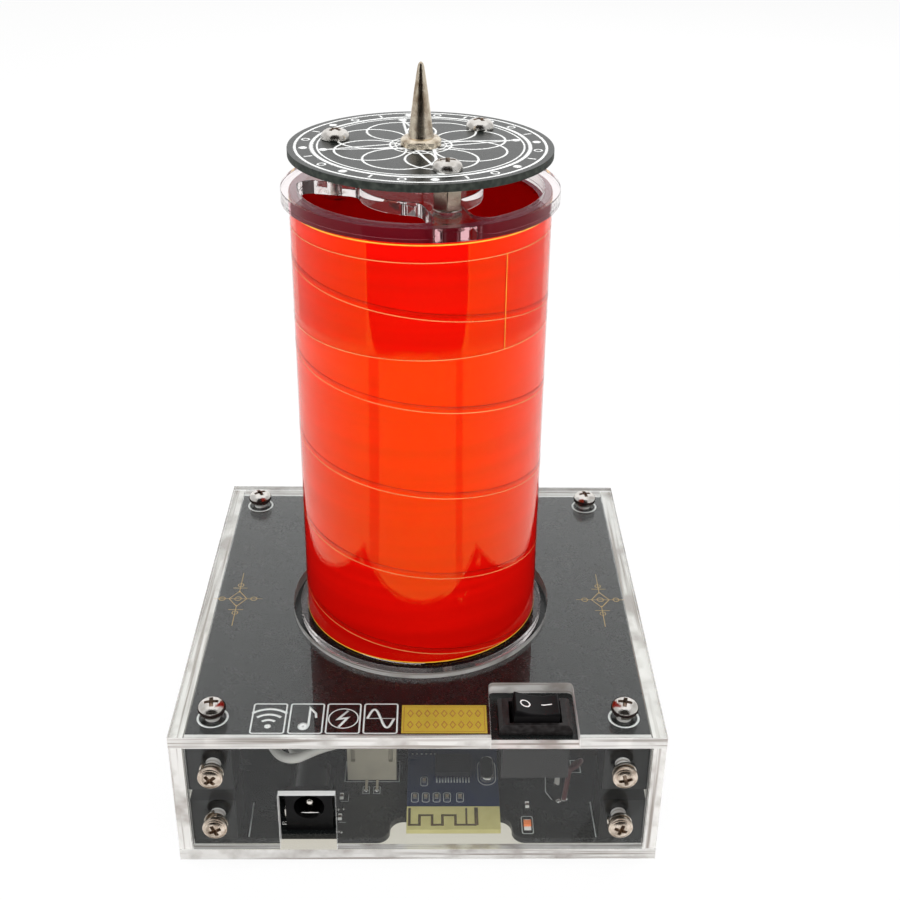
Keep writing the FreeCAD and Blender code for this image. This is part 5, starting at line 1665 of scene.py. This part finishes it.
@dataclass
class Switch:
    """The rocker with its two marks."""

    level: float = 38.0

    def build(self) -> None:
        """Dress the rocker and lay its marks on it."""
        rocker = dress("switch_rocker", Tone.ROCKER, 0.15)
        marks = [ring(23.2, -43.4, 1.0, 0.34, 32), Stroke(((26.75, -43.3), (29.05, -43.3)), 0.34)]
        subdivided = [Stroke(self.fine(mark.points), mark.width, mark.closed) for mark in marks]
        piece = drape(ink("rocker_marks", self.level, subdivided), rocker, self.level)
        enter(piece, Tone.WHITE_INK, body="rocker", slot=SLOT_OF["switch_rocker"])

    @staticmethod
    def fine(points: tuple[Flat, ...]) -> tuple[Flat, ...]:
        """Return a two-point line with more points along it, and any other line as it is."""
        if len(points) != 2:
            return points
        (x, y), (far_x, far_y) = points
        return tuple((x + (far_x - x) * part / 8, y + (far_y - y) * part / 8) for part in range(9))


def solid_boxes(node: str) -> list[tuple[Vector, Vector]]:
    """Return the low and the high corner of each solid of a node, in millimetres."""
    copy = Bench.copy_of(node, "scratch")
    Bench.open(copy)
    bpy.ops.mesh.separate(type="LOOSE")
    Bench.close()
    boxes = []
    for piece in list(bpy.context.selected_objects):
        spots = [vertex.co / MM for vertex in piece.data.vertices]
        low, high = (Vector(side(spot[axis] for spot in spots) for axis in range(3)) for side in (min, max))
        boxes.append((low, high))
        bpy.data.objects.remove(piece)
    return sorted(boxes, key=lambda box: tuple(box[0]))


def chip_part(low: Vector, high: Vector, body: Tone, cap: Tone, cap_share: float = 0.24) -> Piece:
    """Model a small soldered part: a low body between two bright end caps.

    Args:
        low: Low corner of the part.
        high: High corner of the part.
        body: Finish of the body.
        cap: Finish of the caps.
        cap_share: Length of each cap as a share of the part's length.

    Returns:
        The part.
    """
    size = high - low
    along = 0 if size.x > size.y else 1
    cap_length = size[along] * cap_share
    pieces = []
    for name, start, end, inset in (
        ("body", cap_length * 0.8, size[along] - cap_length * 0.8, 0.06), ("cap", 0, cap_length, 0.0),
        ("cap", size[along] - cap_length, size[along], 0.0),
    ):
        first, last = low.copy(), high.copy()
        first[along], last[along] = low[along] + start, low[along] + end
        first[1 - along] += inset
        last[1 - along] -= inset
        last.z -= inset
        piece = Bench.box(f"chip_{name}", tuple(first), tuple(last))
        Bench.soften(piece, 0.06)
        piece.data.materials.append((body if name == "body" else cap).material())
        pieces.append(piece)
    return Bench.join("chip_part", pieces)


@dataclass
class Module:
    """The wireless module's board with its bare aerial end, its print and its small parts."""

    top: float = 7.9
    aerial_back: float = -42.0
    aerial: tuple[Flat, ...] = (
        (-2.17, -42.5), (-2.17, -47.8), (0.13, -47.8), (0.13, -44.8), (2.98, -44.8), (2.98, -47.8),
        (5.33, -47.8), (5.33, -44.8), (8.26, -44.8), (8.26, -47.8), (13.0, -47.8),
    )

    def build(self) -> None:
        """Make the board, its traces, its print and its parts."""
        board = Bench.copy_of("wireless_module", "module_board")
        Bench.open(board)
        bpy.ops.mesh.bisect(plane_co=(0, self.aerial_back * MM, 0), plane_no=(0, 1, 0))
        Bench.close()
        Bench.soften(board, 0.03, 1)
        enter(board, Tone.BLUE_BOARD, ["wireless_module"])
        colour_faces(board, Tone.LAMINATE, lambda middle, _: middle.y < self.aerial_back)
        slot = SLOT_OF["wireless_module"]
        traces = [
            Stroke(self.aerial, 0.6), Stroke(((10.74, -42.5), (10.74, -47.8)), 0.45),
            Stroke(((13.0, -42.4), (13.0, -47.9)), 0.85),
        ]
        enter(ink("aerial_trace", self.top, traces), Tone.TRACE, slot=slot)
        boxes = solid_boxes("module_chip_parts")
        parts = [chip_part(low, high, Tone.CERAMIC, Tone.SOLDER) for low, high in boxes]
        enter(Bench.join("module_small_parts", parts), None, ["module_chip_parts"])
        outlines = [
            frame_line((low.x - 0.34, low.y - 0.7), (high.x + 0.34, high.y + 0.7), 0.45, 0.2)
            for low, high in boxes
        ]
        marks = ink("module_print", self.top, outlines + self.chip_marks())
        enter(marks, Tone.SILVER_INK, slot=slot)

    @staticmethod
    def chip_marks() -> list[Stroke]:
        """Return the pads round the chip, the crystal's outline and the rows of small vias."""
        (chip_low, chip_high), = solid_boxes("module_chip")
        (can_low, can_high), = solid_boxes("module_crystal")
        pads = []
        for number in range(12):
            x = chip_low.x + 0.4 + (chip_high.x - chip_low.x - 0.8) * number / 11
            pads.append(Stroke(((x, chip_low.y - 0.1), (x, chip_low.y - 1.9)), 0.32))
        middle_x = (can_low.x + can_high.x) / 2
        half = (can_high.x - can_low.x) / 2 + 0.35
        oval = (
            *arc(middle_x, can_high.y - half + 0.35, half, 0, 180, 10),
            *arc(middle_x, can_low.y + half - 0.35, half, 180, 180, 10),
        )
        vias = [dot(-1.8 + 1.1 * number, -24.4, 0.22) for number in range(9)]
        return [*pads, Stroke(oval, 0.22, True), *vias]


@dataclass
class BoardParts:
    """The main board's print, solder, small parts, lamp and inlet lip."""

    level: float = 6.1
    jack_middle: Flat = (-24.45, 12.9)
    jack_lip_drop: float = 2.35
    joints: tuple[Point, ...] = (
        (32.3, -32.5, 0.75), (32.27, -38.53, 0.7), (33.65, -37.9, 0.8), (-12.45, -34.9, 0.55),
        (-9.95, -34.9, 0.55), (-18.6, -41.1, 0.35), (-17.4, -41.0, 0.3), (-18.0, -48.1, 0.3),
        (-17.4, -48.3, 0.32),
    )

    def build(self) -> None:
        """Make every small thing on the main board."""
        slot = SLOT_OF["main_board"]
        enter(ink("board_print", self.level, self.outlines()), Tone.SILVER_INK, slot=slot)
        places = solid_boxes("chip_resistors")
        resistors = [chip_part(low, high, Tone.CHIP_BROWN, Tone.LED_BASE) for low, high in places]
        enter(Bench.join("end_capped_resistors", resistors), None, ["chip_resistors"])
        (low, high), = solid_boxes("indicator_led")
        side = Vector((0.4, 0.0, 0.0))
        lamp = chip_part(low - side, high + side + Vector((0, 0, 0.1)), Tone.LAMP, Tone.LAMP, 0.2)
        enter(lamp, None, ["indicator_led"])
        pads = []
        for front, back in ((low.y - 1.1, low.y - 0.02), (high.y + 0.02, high.y + 0.6)):
            corners = (low.x - 0.35, front, low.z - 0.02), (high.x + 0.35, back, low.z + 0.16)
            pads.append(Bench.soften(Bench.box("lamp_pad", *corners), 0.06))
        enter(Bench.join("lamp_pads", pads), Tone.LED_BASE, slot=slot)
        blobs = [self.blob(*joint) for joint in self.joints]
        enter(Bench.join("solder_joints", blobs), Tone.SOLDER, slot=slot)
        x, z = self.jack_middle
        level = z - self.jack_lip_drop
        lip = Bench.box("inlet_spring_lip", (x - 2.25, -47.9, level - 0.5), (x + 2.25, -46.9, level))
        foot = Bench.box("inlet_contact_foot", (-30.75, -48.1, 6.8), (x - 5.1, -47.2, 7.2))
        tabs = Bench.join("inlet_contact_ends", [Bench.soften(lip, 0.15), Bench.soften(foot, 0.12)])
        enter(tabs, Tone.SOLDER, slot=SLOT_OF["dc_jack_contacts"])

    def blob(self, x: float, y: float, radius: float) -> Piece:
        """Model a domed solder joint."""
        angles = (0.4, 0.8, 1.2, 1.5)
        steps = [(radius * math.cos(angle), radius * 0.8 * math.sin(angle)) for angle in angles]
        joint = Bench.turned("solder_joint", [(radius, -0.05), *steps], (x, y, self.level), 20)
        return Bench.soften(joint, 0)

    @staticmethod
    def outlines() -> list[Stroke]:
        """Return the printed lines and the outlines of parts."""
        return [
            Stroke(((30.07, -26.9), (29.47, -35.31), (30.77, -37.97)), 0.2),
            frame_line((36.17, -28.84), (38.34, -24.62), 0.0, 0.2),
            Stroke(((39.61, -38.65), (39.84, -49.8)), 0.3), Stroke(((-38.11, -38.79), (-37.94, -49.56)), 0.3),
            frame_line((23.35, -48.7), (25.85, -43.3), 0.5, 0.24),
            Stroke(((-18.2, -38.4), (-16.4, -38.4), (-16.4, -36.0)), 0.14),
            Stroke(((-18.2, -45.1), (-16.6, -45.1)), 0.14),
            frame_line((-17.6, -31.9), (-4.8, -24.9), 0.0, 0.2),
            frame_line((-13.2, -35.9), (-11.7, -33.6), 0.0, 0.14),
            frame_line((-10.7, -35.9), (-9.2, -33.6), 0.0, 0.14),
        ]


def main() -> None:
    """Build the studio and every sub-assembly in order, and log each one as it is done."""
    logging.basicConfig(level=logging.INFO, format="%(name)s: %(message)s")
    for part in (
        Studio(), ClearCase(), Column(), Inner(), Fasteners(), TopLoad(), Panel(), Switch(), Module(),
        BoardParts(),
    ):
        part.build()
        LOG.info("%s is done", type(part).__name__)


if __name__ == "__main__":
    main()
